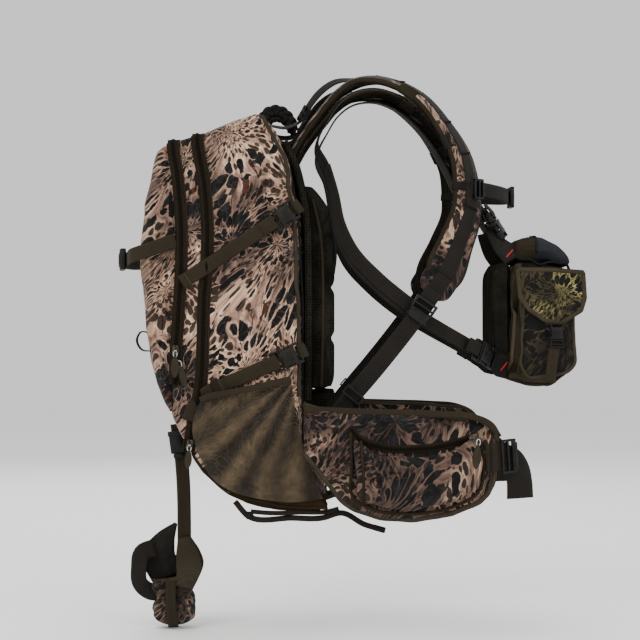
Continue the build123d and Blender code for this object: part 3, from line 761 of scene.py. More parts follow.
def islands_of(shape):
    """The separate groups of joined vertices."""
    left_over = set(shape.verts)
    islands = []
    while left_over:
        reached, edge = set(), [left_over.pop()]
        while edge:
            vertex = edge.pop()
            reached.add(vertex)
            near = [e.other_vert(vertex) for e in vertex.link_edges]
            fresh = [v for v in near if v in left_over]
            left_over.difference_update(fresh)
            edge.extend(fresh)
        islands.append(reached)
    return islands


def outer_skin(node):
    """A copy of a node's solids without the walls of their hollow insides."""
    shape = bmesh.new()
    shape.from_mesh(NODES[node].data)
    bmesh.ops.remove_doubles(shape, verts=shape.verts, dist=1e-5)
    if node in HOLLOW:
        islands = islands_of(shape)
        widest = max(islands, key=lambda s: max(v.co.z for v in s) - min(v.co.z for v in s))
        spare = [v for s in islands if s is not widest for v in s]
        bmesh.ops.delete(shape, geom=spare, context="VERTS")
    return closed_mesh(node, shape)


def stuffed(name, node, material, voxel, shrink, cap, pressure=4.0, body="pack"):
    """A stuffed cloth piece that starts a little smaller than its CAD solid and is blown out to fill it."""
    piece = add_object(name, outer_skin(node), material)
    apply_modifier(piece, "REMESH", mode="VOXEL", voxel_size=voxel * MM, use_smooth_shade=True)
    shift_along_normals(piece, -shrink * MM)
    rest = coordinates(piece)
    settings = piece.modifiers.new("cloth", "CLOTH").settings
    for key, value in CLOTH.items():
        setattr(settings, key, value)
    settings.uniform_pressure_force = pressure
    settings.effector_weights.gravity = 0
    STUFFED.append((piece, rest, cap * MM))
    put(piece, body, node)
    return piece


def read_vectors(items, key):
    flat = np.empty(len(items) * 3)
    items.foreach_get(key, flat)
    return flat.reshape(-1, 3)


def coordinates(piece):
    return read_vectors(piece.data.vertices, "co")


def set_coordinates(piece, places):
    piece.data.vertices.foreach_set("co", np.ascontiguousarray(places, dtype=float).ravel())
    piece.data.update()


def vertex_normals(piece):
    return read_vectors(piece.data.vertex_normals, "vector")


def shift_along_normals(piece, distance):
    set_coordinates(piece, coordinates(piece) + vertex_normals(piece) * distance)


def apply_modifier(piece, kind, **settings):
    modifier = piece.modifiers.new("made", kind)
    for key, value in settings.items():
        setattr(modifier, key, value)
    bpy.context.view_layer.objects.active = piece
    bpy.ops.object.modifier_apply(modifier=modifier.name)


def blow_out():
    """Runs every stuffed piece's cloth together and keeps the result, with each point's move capped."""
    scene = bpy.context.scene
    for number in range(1, SIM_FRAMES + 1):
        scene.frame_set(number)
    graph = bpy.context.evaluated_depsgraph_get()
    for piece, rest, cap in STUFFED:
        moved = coordinates(piece.evaluated_get(graph))
        step = moved - rest
        size = np.linalg.norm(step, axis=1)
        step *= (np.tanh(size / cap) * cap / np.maximum(size, 1e-9))[:, None]
        piece.modifiers.remove(piece.modifiers["cloth"])
        set_coordinates(piece, rest + step)
    scene.frame_set(1)


def soften(*pieces):
    """Smooths pieces by one level of subdivision."""
    for piece in pieces:
        modifier = piece.modifiers.new("softened", "SUBSURF")
        modifier.levels = 1
        modifier.render_levels = 1


def wrinkle(piece, height, scale, stretch=(1, 1, 1), seed=0.0):
    """Soft folds: points move along their normals by stretched ridged noise."""
    places, normals = coordinates(piece), vertex_normals(piece)
    move = np.empty(len(places))
    for i, p in enumerate(places):
        q = Vector((p[0] * stretch[0], p[1] * stretch[1], p[2] * stretch[2])) * scale
        move[i] = 0.5 - 2 * abs(noise.noise(q + Vector((seed, seed * 2, 3))))
    set_coordinates(piece, places + normals * (move * height * MM)[:, None])


def crease(piece, start, end, depth, wide, side=-1):
    """A sewn line on a side panel, from start to end (x, z): the cloth pulls in along it."""
    places = coordinates(piece) / MM
    a, b = np.array(start, float), np.array(end, float)
    flat = places[:, [0, 2]] - a
    t = np.clip(flat @ (b - a) / ((b - a) @ (b - a)), 0, 1)
    away = np.linalg.norm(flat - t[:, None] * (b - a), axis=1)
    pull = depth * np.exp(-((away / wide) ** 2)) * (places[:, 1] * side > 60)
    places[:, 1] -= pull * side
    set_coordinates(piece, places * MM)


# ---------------------------------------------------------------- bag
BAG_BACK = [(-48, -152, 70), (-47, -152, 130), (-47, -152, 203), (-50, -152, 262), (-55, -152, 322),
            (-61, -152, 366), (-68, -152, 400), (-84, -152, 430), (-102, -150, 458)]
BASE_SEAM = [(-204, -8), (-186, -38), (-160, -62), (-119, -79), (-83, -85), (-36, -89), (-6, -86)]
MAIN_SEAM = [(-204, -6), (-195, 46), (-187, 90), (-184, 150), (-183, 200), (-179, 252), (-178, 300),
             (-182, 362), (-192, 428)]
FRONT_SEAM = [(-223, 86), (-222, 130), (-218, 190), (-215, 240), (-214, 290), (-216, 336), (-220, 378),
              (-226, 420)]
BASE_TOP = -64.0  # the base panel's upper edge
MAIN_CREASES = (((-46, 226), (-162, 92), 3.5, 5.0), ((-70, 360), (-172, 300), 2.0, 9.0))
OUTER_CREASE = ((-262, 342), (-206, 300), 2.0, 8.0)


def make_bag():
    main = stuffed("bag_main", "main_bag", "camo", CLOTH_VOXEL, 0.8, 6.0)
    middle = stuffed("bag_middle", "middle_bag", "camo", CLOTH_VOXEL, 0.8, 4.0)
    outer = stuffed("bag_outer", "outer_pocket", "camo", CLOTH_VOXEL, 1.2, 6.0)
    return main, middle, outer


def finish_bag(main, middle, outer):
    wrinkle(main, 3.2, 15, (1.0, 0.8, 0.55), 1.0)
    wrinkle(middle, 1.6, 16, (0.6, 1.0, 0.8), 2.0)
    wrinkle(outer, 3.0, 14, (1.0, 0.6, 0.9), 3.0)
    for side in (-1, 1):
        for line in MAIN_CREASES:
            crease(main, *line, side)
        crease(outer, *OUTER_CREASE, side)
    soften(main, middle, outer)
    panel(main, "brown_base", lambda p: p.z < BASE_TOP)


def panel(piece, material, chosen):
    """A sewn-in panel: the faces whose middles (x, y, z in millimetres) are chosen get another cloth."""
    piece.data.materials.append(PAINTS[material])
    index = len(piece.data.materials) - 1
    for polygon in piece.data.polygons:
        if chosen(polygon.center / MM):
            polygon.material_index = index


def surface_of(*pieces):
    """One ray-cast tree over the pieces at rest."""
    vertices, faces = [], []
    for piece in pieces:
        first = len(vertices)
        vertices.extend(v.co.copy() for v in piece.data.vertices)
        faces.extend([first + i for i in p.vertices] for p in piece.data.polygons)
    return BVHTree.FromPolygons(vertices, faces)


EASE_ROUNDS = 6
SIDE_REACH = 60.0  # how far out a ray starts that looks for a surface
BAND_REACH = 30.0


def eased(depth):
    """Depths smoothed so that a strap bridges hollows and never sinks below the surface."""
    for _ in range(EASE_ROUNDS):
        padded = np.concatenate([depth[:1], depth, depth[-1:]])
        depth = np.minimum(depth, (padded[:-2] + padded[1:-1] + padded[2:]) / 3)
    return depth


def laid_on(tree, lift):
    """A function that lays a run of points on a side's surface, from outside, with a smooth lift off it."""
    way = Vector(INWARD)

    def lay(curve, _):
        found = []
        for place in curve:
            origin = Vector(place) * MM - way * SIDE_REACH * MM
            hit = tree.ray_cast(origin, way, 2 * SIDE_REACH * MM)[0]
            found.append(np.array(hit) / MM if hit is not None else np.array(place))
        depth = eased((np.array(found) - curve) @ np.array(way))
        return curve + np.outer(depth - lift, np.array(way))

    return lay


def hugging(tree, lift, half_wide=0.0):
    """A function that lays a band on a surface along its own outward normals, clear of both its edges."""

    def lay(curve, normal):
        ways = -unit(normal)
        across = unit(np.cross(np.gradient(curve, axis=0), ways))
        depth = np.zeros(len(curve))
        for i, (place, way) in enumerate(zip(curve, ways, strict=True)):
            found = []
            for shift in {0.0, half_wide, -half_wide}:
                start = place - way * BAND_REACH + across[i] * shift
                hit = tree.ray_cast(Vector(start) * MM, Vector(way), 2 * BAND_REACH * MM)[0]
                if hit is not None:
                    found.append((np.array(hit) / MM - place) @ way)
            depth[i] = min(found) if found else 0.0
        return curve + ways * (eased(depth) - lift)[:, None]

    return lay


def snapped(tree, lift):
    """A function that moves a run to the nearest place on a surface, then out by the lift."""

    def lay(curve, _):
        found = []
        for place in curve:
            hit, normal, _, _ = tree.find_nearest(Vector(place) * MM)
            found.append(np.array(hit) / MM + np.array(normal) * lift)
        found = np.array(found)
        for _ in range(2):
            found[1:-1] = (found[:-2] + found[1:-1] * 2 + found[2:]) / 4
        return found

    return lay


def inverted_u(seam, half, top_lift):
    """A zip's run: up one side, round over the top and down the other side, with its outward normals."""
    top = seam[-1][1] + top_lift
    x = seam[-1][0]
    places = [(a, -half, z) for a, z in seam]
    places += [(x, -half + 3, top - 4), (x, -half + 12, top + 1), (x, -half / 2, top + 2)]
    normals = [NEAR] * len(seam) + [(0, -1, 0.6), (0, -0.3, 1), (0, 0, 1)]
    return over_the_middle(places), over_the_middle(normals)


def zip_profile(wide):
    """Two tapes lying flat with the raised coil between them."""
    half = wide / 2
    right = [(0, 2.2), (1.6, 1.9), (2.4, 0.9), (half - 1, 0.8), (half, 0.3)]
    top = [(-a, o) for a, o in right[:0:-1]] + right
    return lambda width, t: top + [(half - 1, -0.9), (0, -1.0), (-half + 1, -0.9)]


def make_zips(tree):
    for name, seam, half in (("main", MAIN_SEAM, SIDE + 1.6), ("front", FRONT_SEAM, SIDE - 1.6)):
        points, normals = inverted_u(seam, half, 9)
        tape = sweep(f"zip_{name}", points, normals, ZIP_WIDE, zip_profile(ZIP_WIDE), "zip",
                     drop=hugging(tree, 1.0, ZIP_WIDE / 2))
        put(tape, "pack")
        for side, shift in (("a", -WELT_SHIFT), ("b", WELT_SHIFT)):
            edge = [(x + shift, y, z) for x, y, z in points]
            put(tube(f"zip_welt_{name}_{side}", edge, 1.2, "dark_olive_cloth", normals=normals,
                     drop=hugging(tree, 0.6)), "pack")
    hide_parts("zip_tapes")


def make_back_edges(tree):
    """Bound seams of the bag: along the back edge of each side panel and round the base panel."""
    put_both(tube("back_binding", BAG_BACK, 2.8, "olive_cloth", drop=snapped(tree, 0.6)))
    base = [(x, -154, z) for x, z in BASE_SEAM]
    put_both(tube("base_binding", base, 2.2, "brown_base", drop=snapped(tree, 0.4)))


# ---------------------------------------------------------------- mesh side pockets
POCKET_TOP = [(-187, 64), (-176, 69), (-150, 74), (-110, 82), (-80, 89), (-62, 93)]
POCKET_LOW = [(-190, -10), (-170, -44), (-142, -62), (-104, -72), (-56, -76), (-18, -71)]
POCKET_FLAT = -50.0  # forward of this the mesh lies flat, under the belt wing
POCKET_FADE = 36.0  # over which it comes to lie flat
POCKET_GAP = 1.6
POCKET_BELLY = 16
POCKET_FOLD = 6.5
POCKET_RUMPLE = 3.0
POCKET_COLUMNS, POCKET_ROWS = 110, 80
MESH_LONG, MESH_HIGH = 0.135, 0.16  # in metres, so that its threads keep their size


def pocket_out(x, z, u, v):
    """How far the mesh stands off the bag's side: u runs along the pocket and v down it, 0 to 1."""
    belly = math.sin(math.pi * min(1, u * 1.02)) ** 0.6 * (math.sin(math.pi * (0.12 + 0.88 * v)) ** 0.7)
    angle = math.atan2(z - 100, x + 40)
    fold = 1 - 2 * abs(math.sin(angle * 9.5 + 2.2 * noise.noise(Vector((x, z, 0)) * 0.02)))
    fan = math.sin(math.pi * u) ** 0.5 * (0.35 + 0.65 * v) * math.sin(math.pi * min(1.0, 0.1 + v)) ** 0.4
    small = noise.noise(Vector((x * 0.9, z * 0.35, 3)) * 0.09)
    free = min(1.0, max(0.0, (POCKET_FLAT - x) / POCKET_FADE))
    return POCKET_GAP + free * (POCKET_BELLY * belly + POCKET_FOLD * fold * fan + POCKET_RUMPLE * small * fan)


def pocket_mesh():
    """Gathered stretch mesh: bellied out over what it holds, with folds that fan from its upper corner."""
    top, _ = smooth_run([(x, 0, z) for x, z in POCKET_TOP], 1.0)
    low, _ = smooth_run([(x, 0, z) for x, z in POCKET_LOW], 1.0)
    shape = bmesh.new()
    uv = shape.loops.layers.uv.new("UVMap")
    grid = []
    for j in range(POCKET_ROWS + 1):
        v = j / POCKET_ROWS
        line = []
        for i in range(POCKET_COLUMNS + 1):
            u = i / POCKET_COLUMNS
            a = top[int(u * (len(top) - 1))]
            b = low[int(u * (len(low) - 1))]
            bow = -10 * math.sin(math.pi * v) * ((u < 0.5) * (1 - 2 * u) + 0.7 * (u > 0.5) * (2 * u - 1))
            x, z = a[0] + (b[0] - a[0]) * v + bow, a[2] + (b[2] - a[2]) * v
            line.append(shape.verts.new(Vector((x, -SIDE - pocket_out(x, z, u, v), z)) * MM))
        grid.append(line)
    for j in range(POCKET_ROWS):
        for i in range(POCKET_COLUMNS):
            corners = [(j, i), (j + 1, i), (j + 1, i + 1), (j, i + 1)]
            face = shape.faces.new([grid[a][b] for a, b in corners])
            for loop, (a, b) in zip(face.loops, corners, strict=True):
                loop[uv].uv = (b / POCKET_COLUMNS * MESH_LONG, a / POCKET_ROWS * MESH_HIGH)
    return mesh_from("side_mesh_right", shape)


def make_mesh_pockets():
    pocket = add_object("side_mesh_right", pocket_mesh(), "olive_mesh")
    other = mirrored(pocket, "side_mesh_left")
    for piece, side in ((pocket, "right"), (other, "left")):
        put(piece, "pack", f"side_pocket_{side}")
    belly = [12 * math.sin(math.pi * (i + 0.4) / 6.2) for i in range(len(POCKET_TOP))]
    hem = [(x, -SIDE - 5 - out, z + 1) for (x, z), out in zip(POCKET_TOP, belly, strict=True)]
    put_both(sweep("side_mesh_hem", hem, (0, -1, 0.1), 9.0, flat_profile(2.2), "olive_8"))


# ---------------------------------------------------------------- back pads
BACK_PANEL_WIDE = 272.0
PAD_CHANNELS = (150, 222, 294)
PAD_CHANNEL_DEEP = 7
BACK_RUN = [(-40, 0, 62), (-39, 0, 130), (-39, 0, 250), (-42, 0, 320), (-50, 0, 366), (-58, 0, 396),
            (-72, 0, 424)]
BACK_NORMALS = [(1, 0, 0)] * 3 + [(1, 0, 0.1), (1, 0, 0.2), (1, 0, 0.4), (1, 0, 0.5)]
BACK_TRIM = [(-32, -122, 345), (-22, -124, 300), (-18, -125, 240), (-18, -125, 160), (-20, -124, 82)]
ADJUSTER = [(-30, -96, 352), (-16, -97, 330), (-5, -98, 300), (0, -98, 268), (-3, -98, 240)]


def make_back():
    mesh = "black_mesh"
    pads = stuffed("back_pads_soft", "back_pads", mesh, PAD_VOXEL, 1.5, 5.0)
    lumbar = stuffed("lumbar_soft", "lumbar_pad", mesh, PAD_VOXEL, 2.0, 3.0)
    return pads, lumbar


def finish_back(pads, lumbar):
    """Sewn channels across the pads, the panel behind them, and a bound line round their outer edge."""
    places = coordinates(pads) / MM
    for level in PAD_CHANNELS:
        near = np.exp(-(((places[:, 2] - level) / 4.0) ** 2)) * (places[:, 0] > -36)
        places[:, 0] -= PAD_CHANNEL_DEEP * near
    set_coordinates(pads, places * MM)
    soften(pads, lumbar)
    behind = sweep("back_panel", BACK_RUN, BACK_NORMALS, BACK_PANEL_WIDE, pad_profile(14, 0.7), "black_mesh")
    put(behind, "pack")
    sides(tube("adjuster_strap", ADJUSTER, 2.0, "black_cloth"), "adjuster_strap_{}", "pack")
    put_both(tube("back_pad_binding", BACK_TRIM, 2.0, "dark_olive_cloth"))


# ---------------------------------------------------------------- shoulder harness
PAD_POINTS = [(-60, -73, 408), (-46, -75, 433), (-16, -78, 473), (5, -80, 497), (26, -82, 510),
              (57, -85, 515), (92, -90, 505), (120, -95, 488), (152, -99, 450), (176, -101, 407),
              (184, -102, 366), (185, -105, 333), (170, -118, 287), (149, -134, 238), (130, -143, 210)]
PAD_NORMALS = [(-0.9, 0, 0.4), (-0.85, 0, 0.5), (-0.8, 0, 0.6), (-0.7, 0, 0.7), (-0.3, 0, 1),
               (0, -0.1, 1), (0.4, -0.2, 1), (0.6, -0.3, 0.8), (0.75, -0.4, 0.6), (0.8, -0.5, 0.3),
               (0.78, -0.62, 0.1), (0.72, -0.7, 0), (0.6, -0.8, 0), (0.5, -0.86, 0.1), (0.45, -0.88, 0.1)]
PAD_WIDTHS = [52, 56, 60, 62, 64, 66, 66, 66, 64, 62, 62, 61, 60, 58, 54]
WEB_POINTS = [(136, -155, 216), (118, -156, 190), (60, -153, 115), (14, -147, 60), (-35, -142, -4)]
WEB_NORMALS = [(0.1, -1, 0), (0.1, -1, 0), (0, -1, 0), (-0.1, -1, 0), (-0.1, -1, 0)]
LIFTER_POINTS = [(-94, -78, 452), (-70, -78, 449), (-50, -78, 458), (-36, -78, 482), (-20, -79, 501),
                 (-2, -80, 513), (26, -82, 517.5)]
LIFTER_NORMALS = [(0, -0.3, 1), (0, -0.4, 1), (-0.5, -0.3, 0.8), (-0.8, -0.8, 0.6), (-0.6, -0.9, 0.8),
                  (-0.3, -0.8, 1), (0, -0.3, 1)]
CHEST_POINTS = [(206, -108, 127), (188, -122, 138), (144, -138, 163), (100, -146, 190), (54, -152, 228),
                (20, -148, 266), (3, -138, 307), (-3, -131, 342), (-13, -112, 387), (-27, -97, 420),
                (-10, -90, 459), (5, -86, 482), (26, -85, 498), (57, -87, 503), (88, -91, 494),
                (112, -95, 476), (144, -98, 440), (167, -97, 402), (180, -84, 371), (206, -66, 339),
                (228, -64, 304)]
CHEST_NORMALS = [(0.6, -0.8, 0), (0.5, -0.85, 0), (0.3, -0.95, 0), (0, -1, 0), (-0.2, -1, 0),
                 (-0.5, -0.85, 0.1), (-0.7, -0.7, 0.1), (-0.8, -0.6, 0.2), (-0.9, -0.4, 0.2),
                 (-0.95, -0.2, 0.3),
                 (-0.85, 0, 0.5), (-0.7, 0, 0.7), (-0.3, 0, 1), (0, 0, 1), (0.4, -0.1, 1),
                 (0.6, -0.2, 0.8), (0.75, -0.3, 0.6), (0.8, -0.4, 0.4), (0.7, -0.4, 0.5), (0.7, -0.35, 0.5),
                 (0.8, -0.3, 0.5)]
STERNUM = [(190.5, -109, 360), (212, -84.5, 360), (230, -64, 358), (246, -36, 356), (252, -8, 355)]
STERNUM_NORMALS = [(0.75, -0.66, 0), (0.75, -0.66, 0), (0.8, -0.55, 0), (0.95, -0.3, 0), (1, 0, 0)]
PAD_BANDS = (  # where each starts and ends, counted in the pad's points
    ("top_tab", 6.1, 6.9, "dark_olive_cloth"),
    ("keeper", 8.3, 8.7, "black_cloth"),
    ("sternum_band", 9.9, 10.3, "black_cloth"),
)
BAND_POINTS = 5  # the places that each band's run is read at
PAD_TACKS = (6, 8, 9, 11, 13)  # the pad's points that a bar tack stands on


def offset_run(points, normals, distance, sideways=0.0):
    """The run moved out along its normals and sideways across its width."""
    p = np.array(points, float)
    along = unit(np.gradient(p, axis=0))
    across = unit(np.cross(along, unit(np.array(normals, float))))
    out = np.cross(across, along)
    return [tuple(v) for v in p + out * distance + across * np.array(sideways).reshape(-1, 1)]


def strap_part(first, last):
    """Evenly spread places along the shoulder pad's run between two of its points, with their normals."""
    at = np.linspace(first, last, BAND_POINTS)
    index = np.arange(len(PAD_POINTS))

    def read(rows):
        columns = [np.interp(at, index, column) for column in zip(*rows, strict=True)]
        return list(zip(*columns, strict=True))

    return read(PAD_POINTS), read(PAD_NORMALS), list(np.interp(at, index, PAD_WIDTHS))


def make_pads():
    """The padded straps with their bound edges and mesh linings."""
    profile = pad_profile(14, ripple=0.05, tip=0.03)
    # the pads wear the belt's cloth, whose darker ground is part print and part painted shade
    pad = sweep("pad", PAD_POINTS, PAD_NORMALS, [w - 3 for w in PAD_WIDTHS], profile, "camo_belt", 3.0)
    for piece in sides(pad, "shoulder_pad_{}", "pack", "shoulder_strap_{}", slot="camo_cloth"):
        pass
    halves = [w / 2 - 3.4 for w in PAD_WIDTHS]
    outer = offset_run(PAD_POINTS, PAD_NORMALS, 0, halves)
    inner = offset_run(PAD_POINTS, PAD_NORMALS, 0, [-half for half in halves])
    end, before = Vector(PAD_POINTS[-1]), Vector(PAD_POINTS[-2])
    tip = tuple(end + (end - before).normalized() * 2)
    line = outer[:-1] + [tip] + inner[:-1][::-1]
    normals = PAD_NORMALS + PAD_NORMALS[:-1][::-1]
    binding = sweep("binding", line, normals, 1.0, tube_profile(STRAP_BINDING, 0.85), "dark_olive_cloth", 3.0)
    sides(binding, "shoulder_binding_{}", "pack")
    inside = offset_run(PAD_POINTS, PAD_NORMALS, -4.2)
    under = sweep("lining", inside, PAD_NORMALS, [w - 9 for w in PAD_WIDTHS], pad_profile(4, 0.5, tip=0.05),
                  "black_mesh", 3.0)
    sides(under, "shoulder_lining_{}", "pack")


def make_pad_trim():
    """The daisy chain along each pad, the bands round it and the daisy chain's bar tacks."""
    daisy = web("daisy", offset_run(PAD_POINTS[5:], PAD_NORMALS[5:], 7.2), PAD_NORMALS[5:], WEB, "black")
    sides(daisy, "shoulder_daisy_{}", "pack")
    for name, first, last, material in PAD_BANDS:
        places, normals, widths = strap_part(first, last)
        band = sweep(name, places, normals, [w + 1.5 for w in widths], pad_profile(16.5), material)
        sides(band, f"shoulder_{name}_{{}}", "pack")
    raised = offset_run(PAD_POINTS, PAD_NORMALS, 8.2)
    for number, place in enumerate(PAD_TACKS):
        along = Vector(raised[place + 1]) - Vector(raised[place - 1])
        tack = bartack("bar", TACK_LONG, WEB + 1, -0.4, 1.3, "black_cloth")
        seat(tack, raised[place], along, PAD_NORMALS[place])
        sides(tack, f"shoulder_bartack_{number}_{{}}", "pack")


def make_webbing():
    runs = (
        ("shoulder_webbing", WEB_POINTS, WEB_NORMALS, WEB, "shoulder_webbing"),
        ("load_lifter", LIFTER_POINTS, LIFTER_NORMALS, NARROW_WEB, "load_lifters"),
        ("chest_webbing", CHEST_POINTS, CHEST_NORMALS, LIGHT_WEB, "chest_webbing"),
    )
    for name, points, normals, width, node in runs:
        strap = web(name, points, normals, width, "black")
        right, _ = sides(strap, f"{name}_{{}}", "pack", slot="black_webbing")
        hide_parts(node)
    doubled = offset_run(CHEST_POINTS[3:9], CHEST_NORMALS[3:9], 2.4, 6.0)
    sides(web("doubled", doubled, CHEST_NORMALS[3:9], LIGHT_WEB, "black"), "chest_webbing_doubled_{}", "pack")
    points, normals = over_the_middle(STERNUM), over_the_middle(STERNUM_NORMALS)
    put(web("sternum_webbing", points, normals, LIGHT_WEB, "black"), "sternum_strap", "sternum_strap")
    boxes = [bar(middle - 1.3, middle + 1.3, 15, -1.2, 3.2) for middle in (-5.7, 5.7)]
    boxes += rails(-7, 7, 14, 1, -1, 3)
    loop = seat(rounded_boxes("keeper", boxes, "black_plastic"), (24, -152, 72), (-46, 4, -55))
    sides(loop, "webbing_keeper_{}", "pack")


# ---------------------------------------------------------------- buckles
def socket_boxes(width):
    """Side-release buckle, female half: two plates, waisted side rails, ridged face and a rear bar."""
    w = width / 2 + 5
    boxes = [bar(-20, 0, w - 3.5, side * 3.6 - 1, side * 3.6 + 1) for side in (-1, 1)]
    boxes += rails(-5, 0, w - 2, 2, -4.4, 4.4)
    boxes += rails(-20, -15, w - 2.4, 2, -4.4, 4.4)
    boxes += rails(-28, -16, w - 1.8, 1.8, -3.8, 3.8)
    boxes += [bar(-28, -25.4, w - 1, -3.4, 2.6), bar(-21, -18.6, w - 2, -4, 4)]
    boxes += [bar(x, x + 1.3, w - 8, 4.2, 5.3) for x in (-15.5, -12.8, -10.1)]
    return boxes + [bar(-7, -2, 3, 4.2, 5.0)]


def plug_boxes(width):
    """Side-release buckle, male half: frame with two bars, a guide tongue and two bowed prongs."""
    w = width / 2 + 5
    boxes = [bar(1, 3.6, w, -3.2, 3.5), bar(8, 10.2, w - 2, -3, 2.6), bar(12.6, 15, w, -3, 3)]
    boxes += rails(1, 15, w - 1.6, 1.6, -3, 3.2)
    boxes += [bar(-13, 2, 2.2, -1.4, 1.4)]
    boxes += rails(-9, 2, w - 4.4, 1.5, -1.8, 1.8)
    boxes += rails(-15, -6, w - 2.2, 1.9, -2.2, 2.2)
    return boxes + [bar(1.4, 2.8, w - 6, 3.2, 4.3)]


def ladder_boxes(width, long):
    """Ladder lock: a frame with two bars and a lifting tab with ridges."""
    w = width / 2 + 4.5
    boxes = [bar(0, 3.4, w, -2, 2), bar(9, 12, w, -2, 2.6), bar(17, long - 2, w, -2, 2.4)]
    boxes += rails(0, long - 3, w - 1.7, 1.7, -2.4, 2.4)
    boxes += [bar(long - 5, long, w - 5, -1.5, 3.0)]
    return boxes + [bar(x, x + 1, w - 6, 2.0, 3.2) for x in (18, 20.5)]


SIDE_Y = -SIDE - 3.1
BUCKLE_LIFT = 5.8
STRAPS = {"upper": ((-214, 227), (-79, 315)), "lower": ((-168, 80), (-74, 121))}  # sewn end and mouth
LOWER_TAIL = [(-168, 80), (-182, 72), (-196, 56), (-204, 36)]
CHEST_BUCKLES = {  # mouth, the way the plug pulls out, and the face
    "upper": ((222, -64.5, 313.5), (-22, -2, 35), (0.8, -0.3, 0.5)),
    "lower": ((200, -112.7, 130.7), (-18, -14, 11), (0.55, -0.82, 0)),
}

TURNED_WEB = [(24, -2.2), (14, -1.6), (8.5, 0.8), (6.2, 3.6), (9.6, 4.6), (14, 4.2), (28, 1.2)]
TURNED_NORMALS = [(0, -1), (-0.4, -1), (-0.9, -0.6), (-1, 0.2), (0.2, 1), (0.2, 1), (0.1, 1)]


def buckle(kind, plastic, mouth, way, outward=NEAR):
    """One half of a buckle for light webbing, seated at its mouth. The plug pulls out along way."""
    boxes = {"socket": socket_boxes, "plug": plug_boxes}[kind](LIGHT_WEB)
    return seat(rounded_boxes(kind, boxes, plastic, 1.1), mouth, way, outward)


def turned_web(colour, mouth, way, outward=NEAR):
    """The webbing's doubled end on a plug's bar: up through the frame, over and back."""
    loop = [(x, 0, z) for x, z in TURNED_WEB]
    facing = [(x, 0, z) for x, z in TURNED_NORMALS]
    turned = sweep("turned", loop, facing, LIGHT_WEB, flat_profile(1.5), f"{colour}_{LIGHT_WEB:g}", 1.5)
    return seat(turned, mouth, way, outward)


def compression_strap(which, low, high, on_bag):
    """A strap up the bag's side, from its sewn low end to the buckle's mouth at the high one, both (x, z)."""
    (ax, az), (bx, bz) = low, high
    away = Vector((ax - bx, 0, az - bz)).normalized()
    mouth = (bx, SIDE_Y - BUCKLE_LIFT, bz)
    plug_body = f"{which}_compression_plug_{{}}"

    def past_mouth(distance, out=0.0):
        """A place on the strap's line, past the mouth and off the bag's side."""
        return bx - away.x * distance, SIDE_Y - out, bz - away.z * distance

    plastic = "olive_plastic"
    sockets = sides(buckle("socket", plastic, mouth, away), f"{which}_socket_{{}}", "pack", slot=plastic)
    plug = buckle("plug", plastic, mouth, away)
    turned = turned_web("olive", mouth, away)
    sides(plug, f"{which}_plug_{{}}", plug_body, plug_body, slot=plastic)
    sides(turned, f"{which}_plug_web_{{}}", plug_body)
    strap = web("strap", [(ax, SIDE_Y, az), past_mouth(-14)], NEAR, LIGHT_WEB, "olive", drop=on_bag)
    straps = sides(strap, f"{which}_compression_web_{{}}", "pack", slot="olive_webbing")
    if which == "upper":
        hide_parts("bag_sockets")
        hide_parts("compression_straps")
    anchor = [past_mouth(22, 4), past_mouth(27, 4.5), past_mouth(36, -4)]
    sides(web("anchor", anchor, NEAR, LIGHT_WEB, "olive"), f"{which}_anchor_web_{{}}", "pack")
    end = np.array([[ax + 4 - away.x * 6, SIDE_Y, az + 2 - away.z * 6]])
    tack = bartack("tack", TACK_LONG, LIGHT_WEB - 1, -0.5, 1.2, "olive_cloth")
    sides(seat(tack, on_bag(end, None)[0] + np.array([0, -1.0, 0]), away), f"{which}_tack_{{}}", "pack")


def make_bag_buckles(tree):
    on_bag = laid_on(tree, 4.2)
    for which, (low, high) in STRAPS.items():
        compression_strap(which, low, high, on_bag)
    tail = [(x, SIDE_Y, z) for x, z in LOWER_TAIL]
    sides(web("tail", tail, NEAR, LIGHT_WEB, "olive", drop=on_bag), "lower_strap_tail_{}", "pack")
    (ax, az), (bx, bz) = STRAPS["lower"]
    way = Vector((bx - ax, 0, bz - az)).normalized()
    for name, along, wide in (("keeper", 4, 12.0), ("tab", 20, 5.0)):
        at = np.array([[ax + way.x * along, SIDE_Y, az + way.z * along]])
        loop = bartack(name, wide, LIGHT_WEB + 4, -1.4, 1.4, "dark_olive_cloth", 0.9)
        seat(loop, on_bag(at, None)[0] + np.array([0, -1.2, 0]), way)
        sides(loop, f"lower_strap_{name}_{{}}", "pack")


def make_locks():
    """The ladder locks on the shoulder webbing, the load lifters and the sternum strap."""
    lock = rounded_boxes("lock", ladder_boxes(WEB, 32), "black_plastic", 1.0)
    seat(lock, (127, -159.8, 202), (-18, -1, -26), (0.1, -1, 0))
    sides(lock, "shoulder_lock_{}_part", "shoulder_lock_{}", "shoulder_lock_{}", slot="black_plastic")
    low, high = Vector(LIFTER_POINTS[2]), Vector(LIFTER_POINTS[3])
    up = (high - low).normalized()
    out = Vector((-up.z, 0, up.x))
    small = rounded_boxes("small", ladder_boxes(NARROW_WEB, 23), "black_plastic", 0.9)
    seat(small, low + out * 3.8, up, out)
    right, _ = sides(small, "lifter_lock_{}", "pack", slot="black_plastic")
    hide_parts("load_lifter_buckles")
    frame_part = rounded_boxes("frame_part", ladder_boxes(LIGHT_WEB, 22), "black_plastic", 0.9)
    seat(frame_part, (194.9, -109.6, 360), (21.5, 24.5, 0), (0.75, -0.66, 0))
    right, _ = sides(frame_part, "sternum_frame_{}", "sternum_strap", slot="black_plastic")
    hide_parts("sternum_fittings")


